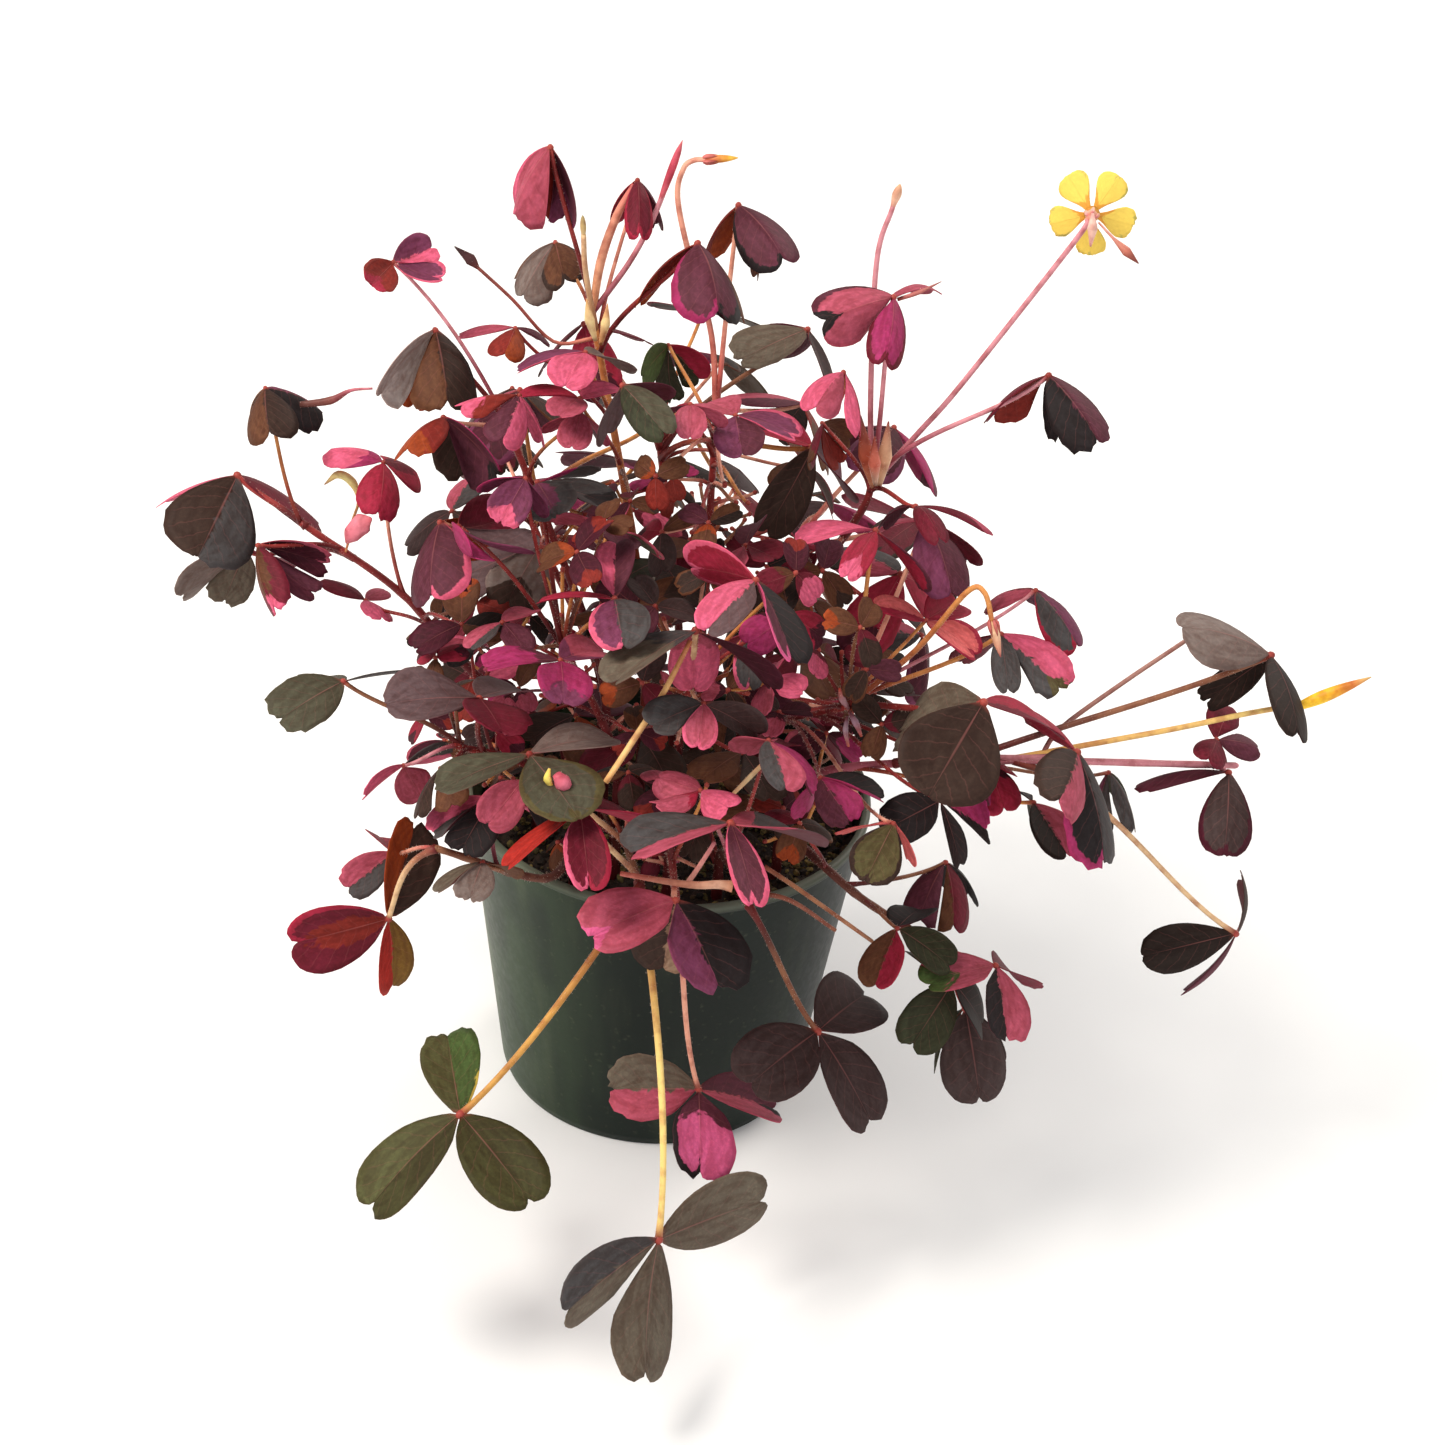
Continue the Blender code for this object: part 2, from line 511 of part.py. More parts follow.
class Plant:
    """Places stems and leaves one after another, each clear of all that other stems carry."""

    def __init__(self, fixed):
        self.fixed = fixed
        self.paths = {}
        self.shapes = {}
        self.stems = []
        self.blades = []
        self.stalks = []

    def clear(self, stem, blades, stalk, alone):
        """Whether a leaf or a stalk touches nothing. It may touch its own stem's leaves if alone is false."""
        lowest = min(point.z for point in joined(blades + stalk)[0])
        if lowest < LOWEST_LEAF:
            return False
        blade_tree = tree_of(blades) if blades else None
        stalk_tree = tree_of(stalk)
        trees = [tree for tree in (blade_tree, stalk_tree) if tree]
        for other in self.fixed:
            if any(tree.overlap(other) for tree in trees):
                return False
        for name, other in self.stems + self.blades + self.stalks:
            if name != stem and any(tree.overlap(other) for tree in trees):
                return False
        if not alone:
            return True
        if blade_tree and any(blade_tree.overlap(t) for n, t in self.blades + self.stalks if n == stem):
            return False
        return not any(stalk_tree.overlap(t) for n, t in self.blades if n == stem)

    def add_stem(self, name, stem):
        x, y = stem.root[0] * MM, stem.root[1] * MM
        foot = Vector((x, y, SOIL_TOP - HOLE_DEPTH + GAP))
        top = Vector((x, y, SOIL_TOP + STEM_UPRIGHT))
        marks = [spot(mark[:2], mark[2]) for mark in stem.path]
        rise = top + UP * STEM_RISE * (marks[0] - top).length + (marks[0] - top) * STEM_LEAN
        path = [foot, *through([top, rise, *marks], STEM_STEPS)]
        self.paths[name] = path
        self.shapes[name] = [tube(path, tapered(STEM_RADIUS, STEM_TIP_RADIUS, len(path)), STEM_SIDES)]
        wide = tapered(STEM_RADIUS + CLEARANCE, STEM_TIP_RADIUS + CLEARANCE, len(path))
        tree = tree_of([tube(path, wide, STEM_SIDES)])
        crossed = [other for other, theirs in self.stems if tree.overlap(theirs)]
        if crossed:
            raise ValueError(f"{name} crosses {crossed}")
        self.stems.append((name, tree))

    def start_of(self, stem, at):
        """Where a stalk leaves its stem, and the way the stem grows there."""
        path = self.paths[stem]
        place = 1 + at * (len(path) - 2)
        k = min(int(place), len(path) - 2)
        return path[k].lerp(path[k + 1], place - k), (path[k + 1] - path[k]).normalized()

    def try_leaf(self, stem, at, hub, midribs, fold, bow, alone):
        start, growing = self.start_of(stem, at)
        axis = rosette_axis(midribs)
        path = stalk_path(start, growing, hub, axis, bow)
        wide = tapered(STALK_RADIUS + 2 * CLEARANCE, STALK_TIP_RADIUS + 2 * CLEARANCE, len(path))
        outline = SMALL_OUTLINE if midribs[0].length < SMALL_BLADE else BLADE_OUTLINE
        blades = [rosette(hub, midribs, axis, fold, outline, grow=CLEARANCE)]
        stalk = [tube(path, wide, STALK_SIDES, axis)]
        if not self.clear(stem, blades, stalk, alone):
            return False
        self.blades.append((stem, tree_of(blades)))
        self.stalks.append((stem, tree_of(stalk)))
        slim = tapered(STALK_RADIUS, STALK_TIP_RADIUS, len(path))
        self.shapes[stem].append(tube(path, slim, STALK_SIDES, axis))
        self.shapes[stem].append(rosette(hub, midribs, axis, fold, outline))
        return True

    def add_leaf(self, stem, leaf, before):
        """Tries the leaf's own depth first, then others along the line of sight, and bent stalks.

        Its stalk starts below those of the leaves before it.
        """
        path = self.paths[stem]
        length = sum((b - a).length for a, b in zip(path[1:], path[2:]))
        at = leaf.at - before * STALK_PITCH / length
        for alone in (True, False):
            for shift in LEAF_SHIFTS:
                hub = spot(leaf.hub, leaf.y + shift)
                midribs = [towards_tip(hub, tip, lean, leaf.size) for tip, lean in zip(leaf.tips, leaf.lean)]
                for bow in STALK_BOWS:
                    if self.try_leaf(stem, at, hub, midribs, math.radians(leaf.fold), Vector(bow), alone):
                        return
        raise ValueError(f"no room for the leaf at {leaf.hub}")

    def add_fill(self, stem, draw):
        """A leaf round the stem's tip, facing up and away from the pot's axis."""
        tip = self.paths[stem][-1]
        for _ in range(FILL_TRIES):
            away = Vector((draw.uniform(-1, 1), draw.uniform(-1, 1), draw.uniform(*FILL_RISE)))
            outward = Vector(FILL_FROM) + Vector((tip.x, tip.y, 0))
            away = (away.normalized() + outward.normalized() * FILL_OUTWARD).normalized()
            hub = tip + away * draw.uniform(*FILL_REACH)
            axis = (UP + away * FILL_TILT).normalized()
            size = draw.uniform(*FILL_SIZE)
            droop = draw.uniform(0.0, FILL_DROOP)
            spin = draw.uniform(0, 2 * math.pi)
            fold = math.radians(draw.uniform(*FILL_FOLD))
            first = axis.orthogonal().normalized()
            midribs = []
            for k in range(3):
                turn = Matrix.Rotation(spin + k * 2 * math.pi / 3, 3, axis)
                midribs.append((turn @ first - axis * droop).normalized() * size)
            at = draw.uniform(*FILL_ROOT)
            hidden = all(behind_crown(hub + midrib) for midrib in midribs)
            if hidden and self.try_leaf(stem, at, hub, midribs, fold, Vector(), True):
                return
        raise ValueError(f"no room for another leaf on {stem}")

    def add_stalk(self, stem, at, marks, radius, end=None):
        """A leafless stalk that carries a bud or the flower."""
        start, _ = self.start_of(stem, at)
        for shift in STALK_SHIFTS:
            points = [start, *(spot(mark[:2], mark[2] + shift) for mark in marks)]
            if end:
                points.append(end)
            path = through(points, 2)
            wide = [tube(path, tapered(radius + 2 * CLEARANCE, radius + CLEARANCE, len(path)), STALK_SIDES)]
            if self.clear(stem, [], wide, False):
                break
        else:
            raise ValueError(f"no room for a stalk on {stem}")
        self.stalks.append((stem, tree_of(wide)))
        self.shapes[stem].append(tube(path, tapered(radius, radius * 0.8, len(path)), STALK_SIDES))
        return path

    def add_bud(self, stem, path, size):
        """A slim bud on the end of a stalk."""
        along = (path[-1] - path[-2]).normalized()
        centres = [path[-1] + along * place * size * MM for place, _ in BUD_PROFILE]
        radii = [radius * size * MM for _, radius in BUD_PROFILE]
        self.shapes[stem].append(tube(centres, radii, BUD_SIDES))


def revolve(name, profile, sides):
    """A closed turned shape, from a profile of (radius, height) points that starts and ends on the axis."""
    points = [Vector((0, 0, profile[0][1]))]
    for radius, height in profile[1:-1]:
        for i in range(sides):
            turn = 2 * math.pi * i / sides
            points.append(Vector((radius * math.cos(turn), radius * math.sin(turn), height)))
    points.append(Vector((0, 0, profile[-1][1])))
    rings = len(profile) - 2
    faces = [(0, 1 + (i + 1) % sides, 1 + i) for i in range(sides)]
    for k in range(rings - 1):
        low, high = 1 + k * sides, 1 + (k + 1) * sides
        for i in range(sides):
            j = (i + 1) % sides
            faces.append((low + i, low + j, high + j, high + i))
    last = 1 + (rings - 1) * sides
    faces += [(last + i, last + (i + 1) % sides, len(points) - 1) for i in range(sides)]
    return mesh_object(name, points, faces)


def wall_radius(height):
    """The pot's outer radius at a height, without its lip."""
    rim = POT_RIM_RADIUS - POT_LIP_PROUD
    return POT_BASE_RADIUS + (rim - POT_BASE_RADIUS) * height / POT_HEIGHT


def pot_profile():
    lip = POT_HEIGHT - POT_LIP_HEIGHT
    inside = POT_RIM_RADIUS - POT_LIP_PROUD - POT_WALL
    return (
        (0, 0),
        (POT_BASE_RADIUS - POT_FOOT_CHAMFER, 0),
        (wall_radius(POT_FOOT_CHAMFER), POT_FOOT_CHAMFER),
        (wall_radius(lip), lip),
        (POT_RIM_RADIUS, lip + POT_LIP_PROUD),
        (POT_RIM_RADIUS, POT_HEIGHT - POT_LIP_PROUD),
        (POT_RIM_RADIUS - POT_LIP_PROUD, POT_HEIGHT),
        (inside, POT_HEIGHT),
        (wall_radius(POT_FLOOR) - POT_WALL, POT_FLOOR),
        (0, POT_FLOOR),
    )


def cut(thing, cutters):
    """Cuts closed meshes out of an object and removes them."""
    helpers = bpy.data.collections.new("cutters")
    bpy.context.scene.collection.children.link(helpers)
    for cutter in cutters:
        bpy.context.scene.collection.objects.unlink(cutter)
        helpers.objects.link(cutter)
    boolean(thing, "DIFFERENCE", helpers)


def boolean(thing, operation, helpers, solver="EXACT"):
    """Applies one Boolean with a whole collection, then removes the collection."""
    modifier = thing.modifiers.new("boolean", "BOOLEAN")
    modifier.operation = operation
    modifier.operand_type = "COLLECTION"
    modifier.collection = helpers
    modifier.solver = solver
    graph = bpy.context.evaluated_depsgraph_get()
    made = bpy.data.meshes.new_from_object(thing.evaluated_get(graph))
    thing.modifiers.clear()
    thing.data = made
    for helper in list(helpers.objects):
        bpy.data.objects.remove(helper)
    bpy.data.collections.remove(helpers)


def prism(name, centre, radius, low, high, sides):
    path = [Vector((*centre, low)), Vector((*centre, high))]
    return mesh_object(name, *tube(path, [radius, radius], sides))


def make_pot():
    pot = revolve("pot", pot_profile(), POT_SIDES)
    drains = []
    for k in range(DRAIN_HOLES):
        turn = 2 * math.pi * (k + 0.5) / DRAIN_HOLES
        centre = (DRAIN_RING * math.cos(turn), DRAIN_RING * math.sin(turn))
        drains.append(prism(f"drain_{k}", centre, DRAIN_RADIUS, -POT_FLOOR, 2 * POT_FLOOR, DRAIN_SIDES))
    cut(pot, drains)
    pot.data.materials.append(finish_material("green_plastic", (0.028, 0.07, 0.045), 0.35))
    pot.data.shade_smooth()
    pot.data.set_sharp_from_angle(angle=math.radians(30))
    return pot


def soil_height(x, y):
    """The lumpy top of the soil."""
    u, v = x / MM, y / MM
    lumps = math.sin(u * 0.31 + 1.3 * math.sin(v * 0.23)) * math.cos(v * 0.37 + 0.8 * math.sin(u * 0.19))
    return SOIL_TOP + SOIL_LUMP * lumps + 0.5 * SOIL_LUMP * math.sin(u * 0.83 + v * 0.71)


def make_soil(stems):
    bottom = POT_FLOOR + GAP
    inner = POT_WALL + 2 * GAP
    points = [Vector((0, 0, bottom))]
    faces = []
    for i in range(SOIL_SIDES):
        turn = 2 * math.pi * i / SOIL_SIDES
        radius = wall_radius(bottom) - inner
        points.append(Vector((radius * math.cos(turn), radius * math.sin(turn), bottom)))
    for ring in range(SOIL_RINGS, 0, -1):
        for i in range(SOIL_SIDES):
            turn = 2 * math.pi * i / SOIL_SIDES
            radius = (wall_radius(SOIL_TOP) - inner) * ring / SOIL_RINGS
            x, y = radius * math.cos(turn), radius * math.sin(turn)
            points.append(Vector((x, y, soil_height(x, y))))
    points.append(Vector((0, 0, soil_height(0, 0))))
    faces += [(0, 1 + (i + 1) % SOIL_SIDES, 1 + i) for i in range(SOIL_SIDES)]
    for k in range(SOIL_RINGS):
        for i in range(SOIL_SIDES):
            j = (i + 1) % SOIL_SIDES
            low, high = 1 + k * SOIL_SIDES, 1 + (k + 1) * SOIL_SIDES
            faces += [(low + i, low + j, high + j), (low + i, high + j, high + i)]
    last = 1 + SOIL_RINGS * SOIL_SIDES
    faces += [(last + i, last + (i + 1) % SOIL_SIDES, len(points) - 1) for i in range(SOIL_SIDES)]
    soil = mesh_object("soil", points, faces)
    holes = []
    for name, stem in stems.items():
        centre = (stem.root[0] * MM, stem.root[1] * MM)
        radius = (STEM_RADIUS + GAP) / math.cos(math.pi / HOLE_SIDES)
        low, high = SOIL_TOP - HOLE_DEPTH, SOIL_TOP + HOLE_CUT
        holes.append(prism(name + "_hole", centre, radius, low, high, HOLE_SIDES))
    cut(soil, holes)
    soil.data.materials.append(finish_material("dark_soil", (0.035, 0.02, 0.01), 0.95))
    return soil


def object_tree(thing):
    return BVHTree.FromPolygons(
        [vertex.co for vertex in thing.data.vertices], [tuple(face.vertices) for face in thing.data.polygons]
    )


def fuse(name, shapes, colour, roughness=0.55):
    """Joins a stem with its stalks, leaves and buds into one solid."""
    base = mesh_object(name, *shapes[0])
    helpers = bpy.data.collections.new(name + "_repeats")
    bpy.context.scene.collection.children.link(helpers)
    for k, shape in enumerate(shapes[1:]):
        piece = mesh_object(f"{name}_{k}", *shape)
        bpy.context.scene.collection.objects.unlink(piece)
        helpers.objects.link(piece)
    boolean(base, "UNION", helpers, solver="MANIFOLD")
    base.data.materials.clear()
    base.data.materials.append(finish_material(name + "_finish", colour, roughness))
    return base


def make_flower(plant):
    """The pedicel goes into its stem's solid; the corolla is a solid of its own, just clear of it."""
    centre = spot(FLOWER_CENTRE[:2], FLOWER_CENTRE[2])
    facing = Vector(FLOWER_FACING).normalized()
    plant.add_stalk(FLOWER_STEM, PEDICEL_AT, PEDICEL_PATH, STALK_RADIUS, centre - facing * CALYX_LENGTH * 0.8)
    cup = [centre - facing * CALYX_LENGTH, centre, centre + facing * CALYX_LIP]
    plant.shapes[FLOWER_STEM].append(tube(cup, [STALK_RADIUS, CALYX_RADIUS, CALYX_RADIUS], BUD_SIDES))
    base = centre + facing * (CALYX_LIP + GAP)
    shapes = [tube([base, base + facing * COROLLA_TUBE], COROLLA_RADII, BUD_SIDES)]
    first = (RIGHT + UP - facing * (RIGHT + UP).dot(facing)).normalized()
    petals = []
    for k in range(PETALS):
        spread = Matrix.Rotation(PETAL_TURN + 2 * math.pi * k / PETALS, 3, facing) @ first
        petals.append((spread * math.cos(PETAL_RISE) + facing * math.sin(PETAL_RISE)) * PETAL_LENGTH)
    throat = base + facing * COROLLA_TUBE * 0.75
    shapes.append(rosette(throat, petals, facing, PETAL_FOLD, PETAL_OUTLINE, PETAL_NOTCH))
    plant.blades.append(("flower_corolla", tree_of(shapes)))
    return shapes


def main():
    clear_scene()
    pot = make_pot()
    soil = make_soil(STEMS)
    plant = Plant([object_tree(pot), object_tree(soil)])
    for name, stem in STEMS.items():
        plant.add_stem(name, stem)
    petals = make_flower(plant)
    for stalk in BUD_STALKS:
        path = plant.add_stalk(stalk.stem, stalk.at, stalk.path, STALK_RADIUS)
        plant.add_bud(stalk.stem, path, stalk.bud)
    for name, leaves in LEAVES.items():
        for before, leaf in enumerate(leaves):
            plant.add_leaf(name, leaf, before)
    draw = random.Random(FILL_SEED)
    for name, count in FILL_COUNTS.items():
        for _ in range(count):
            plant.add_fill(name, draw)
    for name, stem in STEMS.items():
        fuse(name, plant.shapes[name], stem.colour)
    fuse("flower_corolla", petals, (0.75, 0.50, 0.05), 0.4)


main()
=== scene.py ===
"""A potted plum crazy oxalis, dressed: variegated leaves, hairy stalks, buds, a flower, soil and pot.

Metres, +Z up, the origin at the centre of the pot's flat base, -Y towards the viewer. Each leaf is tried
at the places where it could grow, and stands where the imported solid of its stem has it. It is then built
afresh there: thinner, rounder, veined and coloured.
"""

import math
import random
from collections import namedtuple

import bpy
from mathutils import Matrix, Vector, noise
from mathutils.bvhtree import BVHTree


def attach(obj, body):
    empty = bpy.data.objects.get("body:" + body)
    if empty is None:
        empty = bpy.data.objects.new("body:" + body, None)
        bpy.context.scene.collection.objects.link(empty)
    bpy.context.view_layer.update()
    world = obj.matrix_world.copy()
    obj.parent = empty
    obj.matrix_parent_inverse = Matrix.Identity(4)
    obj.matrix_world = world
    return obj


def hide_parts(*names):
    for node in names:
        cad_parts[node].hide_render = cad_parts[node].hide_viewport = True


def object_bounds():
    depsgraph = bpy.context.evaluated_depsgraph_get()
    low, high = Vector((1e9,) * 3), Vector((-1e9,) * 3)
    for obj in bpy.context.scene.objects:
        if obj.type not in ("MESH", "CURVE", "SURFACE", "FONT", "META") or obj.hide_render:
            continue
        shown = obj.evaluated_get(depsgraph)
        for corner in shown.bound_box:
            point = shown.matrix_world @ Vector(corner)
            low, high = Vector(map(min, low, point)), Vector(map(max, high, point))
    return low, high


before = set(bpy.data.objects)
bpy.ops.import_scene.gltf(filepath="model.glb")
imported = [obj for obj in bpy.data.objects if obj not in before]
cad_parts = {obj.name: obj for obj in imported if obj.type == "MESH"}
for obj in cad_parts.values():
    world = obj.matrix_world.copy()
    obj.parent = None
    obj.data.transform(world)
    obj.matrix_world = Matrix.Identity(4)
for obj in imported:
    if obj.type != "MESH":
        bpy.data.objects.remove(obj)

CAD_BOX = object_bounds()
MM = 0.001
UP = Vector((0, 0, 1))
RIGHT = Vector((1, 0, 0))

# Pot
POT_HEIGHT = 90 * MM
POT_RIM_RADIUS = 54.6 * MM
POT_WALL_TOP = 54 * MM
POT_BASE_RADIUS = 42 * MM
POT_WALL = 1.6 * MM
POT_FLOOR = 2.0 * MM
POT_SIDES = 128
POT_SHARP = math.radians(40)
RIM_HEIGHT = 2.6 * MM
ROUNDING = 0.5 * MM
ROUNDING_STEPS = 4
DRAIN_HOLES = 6
DRAIN_RADIUS = 4 * MM
DRAIN_RING = 29 * MM
DRAIN_SIDES = 32

# Soil
SOIL_TOP = 80 * MM
SOIL_LUMP = 1.3 * MM
SOIL_RINGS = 34
SOIL_SIDES = 120
SOIL_SHARP = math.radians(50)
SOIL_TONE = (52, 36, 24)
GRAINS = 2600
GRAIN_SEED = 5
GRAIN_SPREAD = 0.985
GRAIN_LENGTH = 1.5  # mm
GRAIN_RANGE = (0.35, 1.0)
GRAIN_POWER = 1.6
GRAIN_SUNK = 0.25
# A grain's rings: where along its length, and the range of its radius, both in parts of its length
GRAIN_RINGS = ((-0.9, (0.1, 0.3)), (-0.45, (0.5, 0.8)), (0.4, (0.45, 0.8)), (0.95, (0.1, 0.3)))
GRAIN_TONES = ((46, 32, 20), (84, 62, 36), (150, 130, 72), (120, 104, 56), (34, 26, 20), (104, 92, 48))

# Stems
HOLE_DEPTH = 22 * MM
STEM_RADIUS = 1.4 * MM
STEM_TIP_RADIUS = 0.85 * MM
STEM_UPRIGHT = 3 * MM
STEM_RISE = 0.3
STEM_LEAN = 0.1
STEM_SIDES = 10
STEM_KNOT = 0.13
# A stem's rounded end: rings along it, and their radii, in parts of its radius
STEM_END = ((-0.5, 0.98), (0.3, 0.9), (0.8, 0.6), (1.05, 0.15))
COARSE_STEPS = 3
FINE_STEPS = 12

# Leaf stalks
STALK_RADIUS = 0.78 * MM
STALK_PITCH = 1.7 * MM
STALK_FOLLOWS = 0.5
STALK_RISES = 0.25
STALK_SQUARE = 0.3
STALK_HANDLES = (0.36, 0.3)
STALK_SIDES = 7
STALK_STEPS = 16
BUD_STALK_STEPS = 8
# A leaflet's length on a stalk of plain thickness, and the thinnest and thickest of the others
PLAIN_LEAFLET = 24 * MM
STALK_RANGE = (0.72, 1.25)
LEAF_STALK_TAPER = 0.22
BUD_STALK_TAPER = 0.15
# The swelling at a leaf stalk's foot and at its top: how much, and one part in how many of its length
FOOT_SWELLING = (0.5, 9)
TOP_SWELLING = (0.22, 12)
HUB_RADIUS = 1.2
HUB_LENGTH = 1.3
STALK_TONES = ("orange", "salmon", "red", "brown")

# Hairs: how far apart along their stalk, and how long
STEM_HAIRS = (0.22 * MM, 0.75 * MM)
LEAF_STALK_HAIRS = (0.3 * MM, 0.6 * MM)
BUD_STALK_HAIRS = (0.25 * MM, 0.55 * MM)
SPRIG_HAIRS = (0.3 * MM, 0.5 * MM)
# A hair's foot along and across its stalk (mm), and how far hairs lean and vary in length
HAIR_FOOT = (0.05, 0.045)
HAIR_LEANS = (0.1, 0.7)
HAIR_LENGTHS = (0.5, 1.2)

# Leaves
LEAFLET_GAP = 0.35 * MM
DROOP_SHOWS = 0.35
FLAT_TO_VIEW = 0.4
LEAF_FACES = (0, -0.4, 1)
LEAF_SHIFTS = (0, -3, 3, -6, 6, -10, 10, -14, 14, -18, 18, -24, 24)
STALK_SHIFTS = (0, -4, 4, -8, 8, -12, 12)
STALK_BOWS = ((0, 0, 0), (0.5, 0, 0), (-0.5, 0, 0), (0, 0, 0.6), (0, 0, -0.5), (0, -0.6, 0))
# How close a solid's skin has to be to a leaf's marks and to stalks, and where marks are on a midrib
SKIN = 0.9 * MM
LEAF_STALK_SKIN = SKIN * 0.6
BUD_STALK_SKIN = SKIN * 0.8
LEAF_MARKS = (0.45, 0.8)

# The camera of the photograph
PHOTO_MIDDLE = 722
PHOTO_SIZE = 1445
PHOTO_FOCAL = 2950
CAMERA_PITCH = math.radians(33)
CAMERA_ROLL = math.radians(4.5)
BASE_IN_VIEW = (-20.4 * MM, -92.5 * MM, 841 * MM)
RISING = Vector((0, math.sin(CAMERA_PITCH), math.cos(CAMERA_PITCH)))
VIEW = Vector((0, math.cos(CAMERA_PITCH), -math.sin(CAMERA_PITCH)))
CAMERA_X = RIGHT * math.cos(CAMERA_ROLL) + RISING * math.sin(CAMERA_ROLL)
CAMERA_Y = RISING * math.cos(CAMERA_ROLL) - RIGHT * math.sin(CAMERA_ROLL)
EYE = -(CAMERA_X * BASE_IN_VIEW[0] + CAMERA_Y * BASE_IN_VIEW[1] + VIEW * BASE_IN_VIEW[2])

# The studio. A light: its name, place, width, watts and colour. All point at one place
FLOOR_REACH = 6.0
LIT_PLACE = (0, 0, 0.12)
LIGHTS = (
    ("key", (-0.75, -0.35, 1.25), 0.6, 19, (1.0, 0.95, 0.88)),
    ("back", (0.7, 0.9, 0.9), 0.6, 8, (1.0, 0.93, 0.85)),
    ("fill", (0.9, -1.2, 0.7), 1.2, 5, (0.92, 0.96, 1.0)),
)
SKY_LIGHT = 0.62
SENSOR_WIDTH = 36

# Colours as displayed, 0 to 255
TINTS = {
    "black": (38, 32, 33),
    "ink": (42, 32, 28),
    "cocoa": (66, 51, 50),
    "deep": (72, 24, 38),
    "plum": (92, 44, 58),
    "purple": (116, 56, 84),
    "maroon": (106, 28, 44),
    "crimson": (158, 38, 62),
    "scarlet": (172, 44, 36),
    "red": (130, 42, 34),
    "brown": (96, 60, 40),
    "umber": (58, 42, 35),
    "bronze": (66, 64, 36),
    "taupe": (100, 90, 77),
    "grey": (120, 106, 100),
    "dusk": (98, 78, 80),
    "ash": (186, 172, 166),
    "slate": (74, 71, 71),
    "sage": (80, 78, 62),
    "olive": (88, 80, 50),
    "moss": (82, 82, 50),
    "fern": (72, 92, 48),
    "forest": (54, 56, 38),
    "ochre": (122, 88, 34),
    "gold": (206, 188, 84),
    "orange": (152, 66, 30),
    "tan": (146, 118, 96),
    "pink": (214, 94, 126),
    "rose": (176, 80, 100),
    "magenta": (160, 48, 96),
    "fuchsia": (210, 92, 138),
    "salmon": (206, 98, 98),
}
# Each stalk's colour near its foot, and higher up
STALK_TINTS = {
    "orange": ((150, 62, 42), (216, 144, 78)),
    "salmon": ((190, 92, 82), (234, 164, 138)),
    "red": ((100, 26, 30), (150, 48, 44)),
    "brown": ((92, 46, 38), (140, 90, 62)),
    "yellow": ((210, 156, 84), (238, 204, 122)),
    "ochre": ((158, 92, 44), (204, 150, 72)),
    "beige": ((180, 124, 90), (222, 184, 138)),
    "pink": ((164, 82, 96), (212, 140, 148)),
}
STEM_FOOT = (92, 26, 28)
STALK_FOOT = (116, 36, 36)
HUB_TONE = (160, 64, 54)

Stem = namedtuple("Stem", "root path tone")
Leaf = namedtuple("Leaf", "hub y tips lean size fold at tone looks")
Look = namedtuple("Look", "width turn whole ground patches")
BudStalk = namedtuple("BudStalk", "stem at path bud tone kind")
Sprig = namedtuple("Sprig", "roundness radii path tones")

# A stem: where it stands (mm), its path as pixels and how far each lies behind the pot's axis (mm)
STEMS = {
    "summit_stem": Stem((-8, 8), ((592, 312, 15),), "orange"),
    "upper_left_stem": Stem((-17, -5), ((505, 420, 2),), "red"),
    "left_arm_stem": Stem((-28, 3), ((470, 670, -4), (400, 592, -4), (300, 522, -3)), "red"),
    "left_low_stem": Stem((-34, -12), ((455, 745, -38),), "red"),
    "left_front_stem": Stem((-22, -38), ((540, 878, -60), (436, 848, -68)), "brown"),
    "front_left_stem": Stem((-12, -30), ((640, 885, -66),), "brown"),
    "front_stem": Stem((2, -38), ((674, 884, -72),), "red"),
    "front_right_stem": Stem((15, -34), ((748, 905, -66),), "brown"),
    "right_low_stem": Stem((30, -24), ((860, 897, -52), (944, 949, -56)), "brown"),
    "right_long_stem": Stem((37, -8), ((840, 768, -30), (1000, 760, -30), (1235, 765, -22)), "pink"),
    "right_crown_stem": Stem((25, 6), ((848, 705, -30),), "red"),
    "upper_right_stem": Stem((17, 17), ((855, 520, 2), (872, 475, 2)), "red"),
    "centre_stem": Stem((2, -9), ((690, 680, -46),), "red"),
    "centre_left_stem": Stem((-13, -17), ((560, 640, -34),), "red"),
    "upper_middle_stem": Stem((6, 6), ((715, 425, 8),), "red"),
    "back_left_stem": Stem((-20, 26), ((530, 520, 46),), "red"),
    "back_stem": Stem((0, 33), ((655, 410, 46),), "red"),
    "back_right_stem": Stem((23, 28), ((795, 540, 50),), "red"),
}

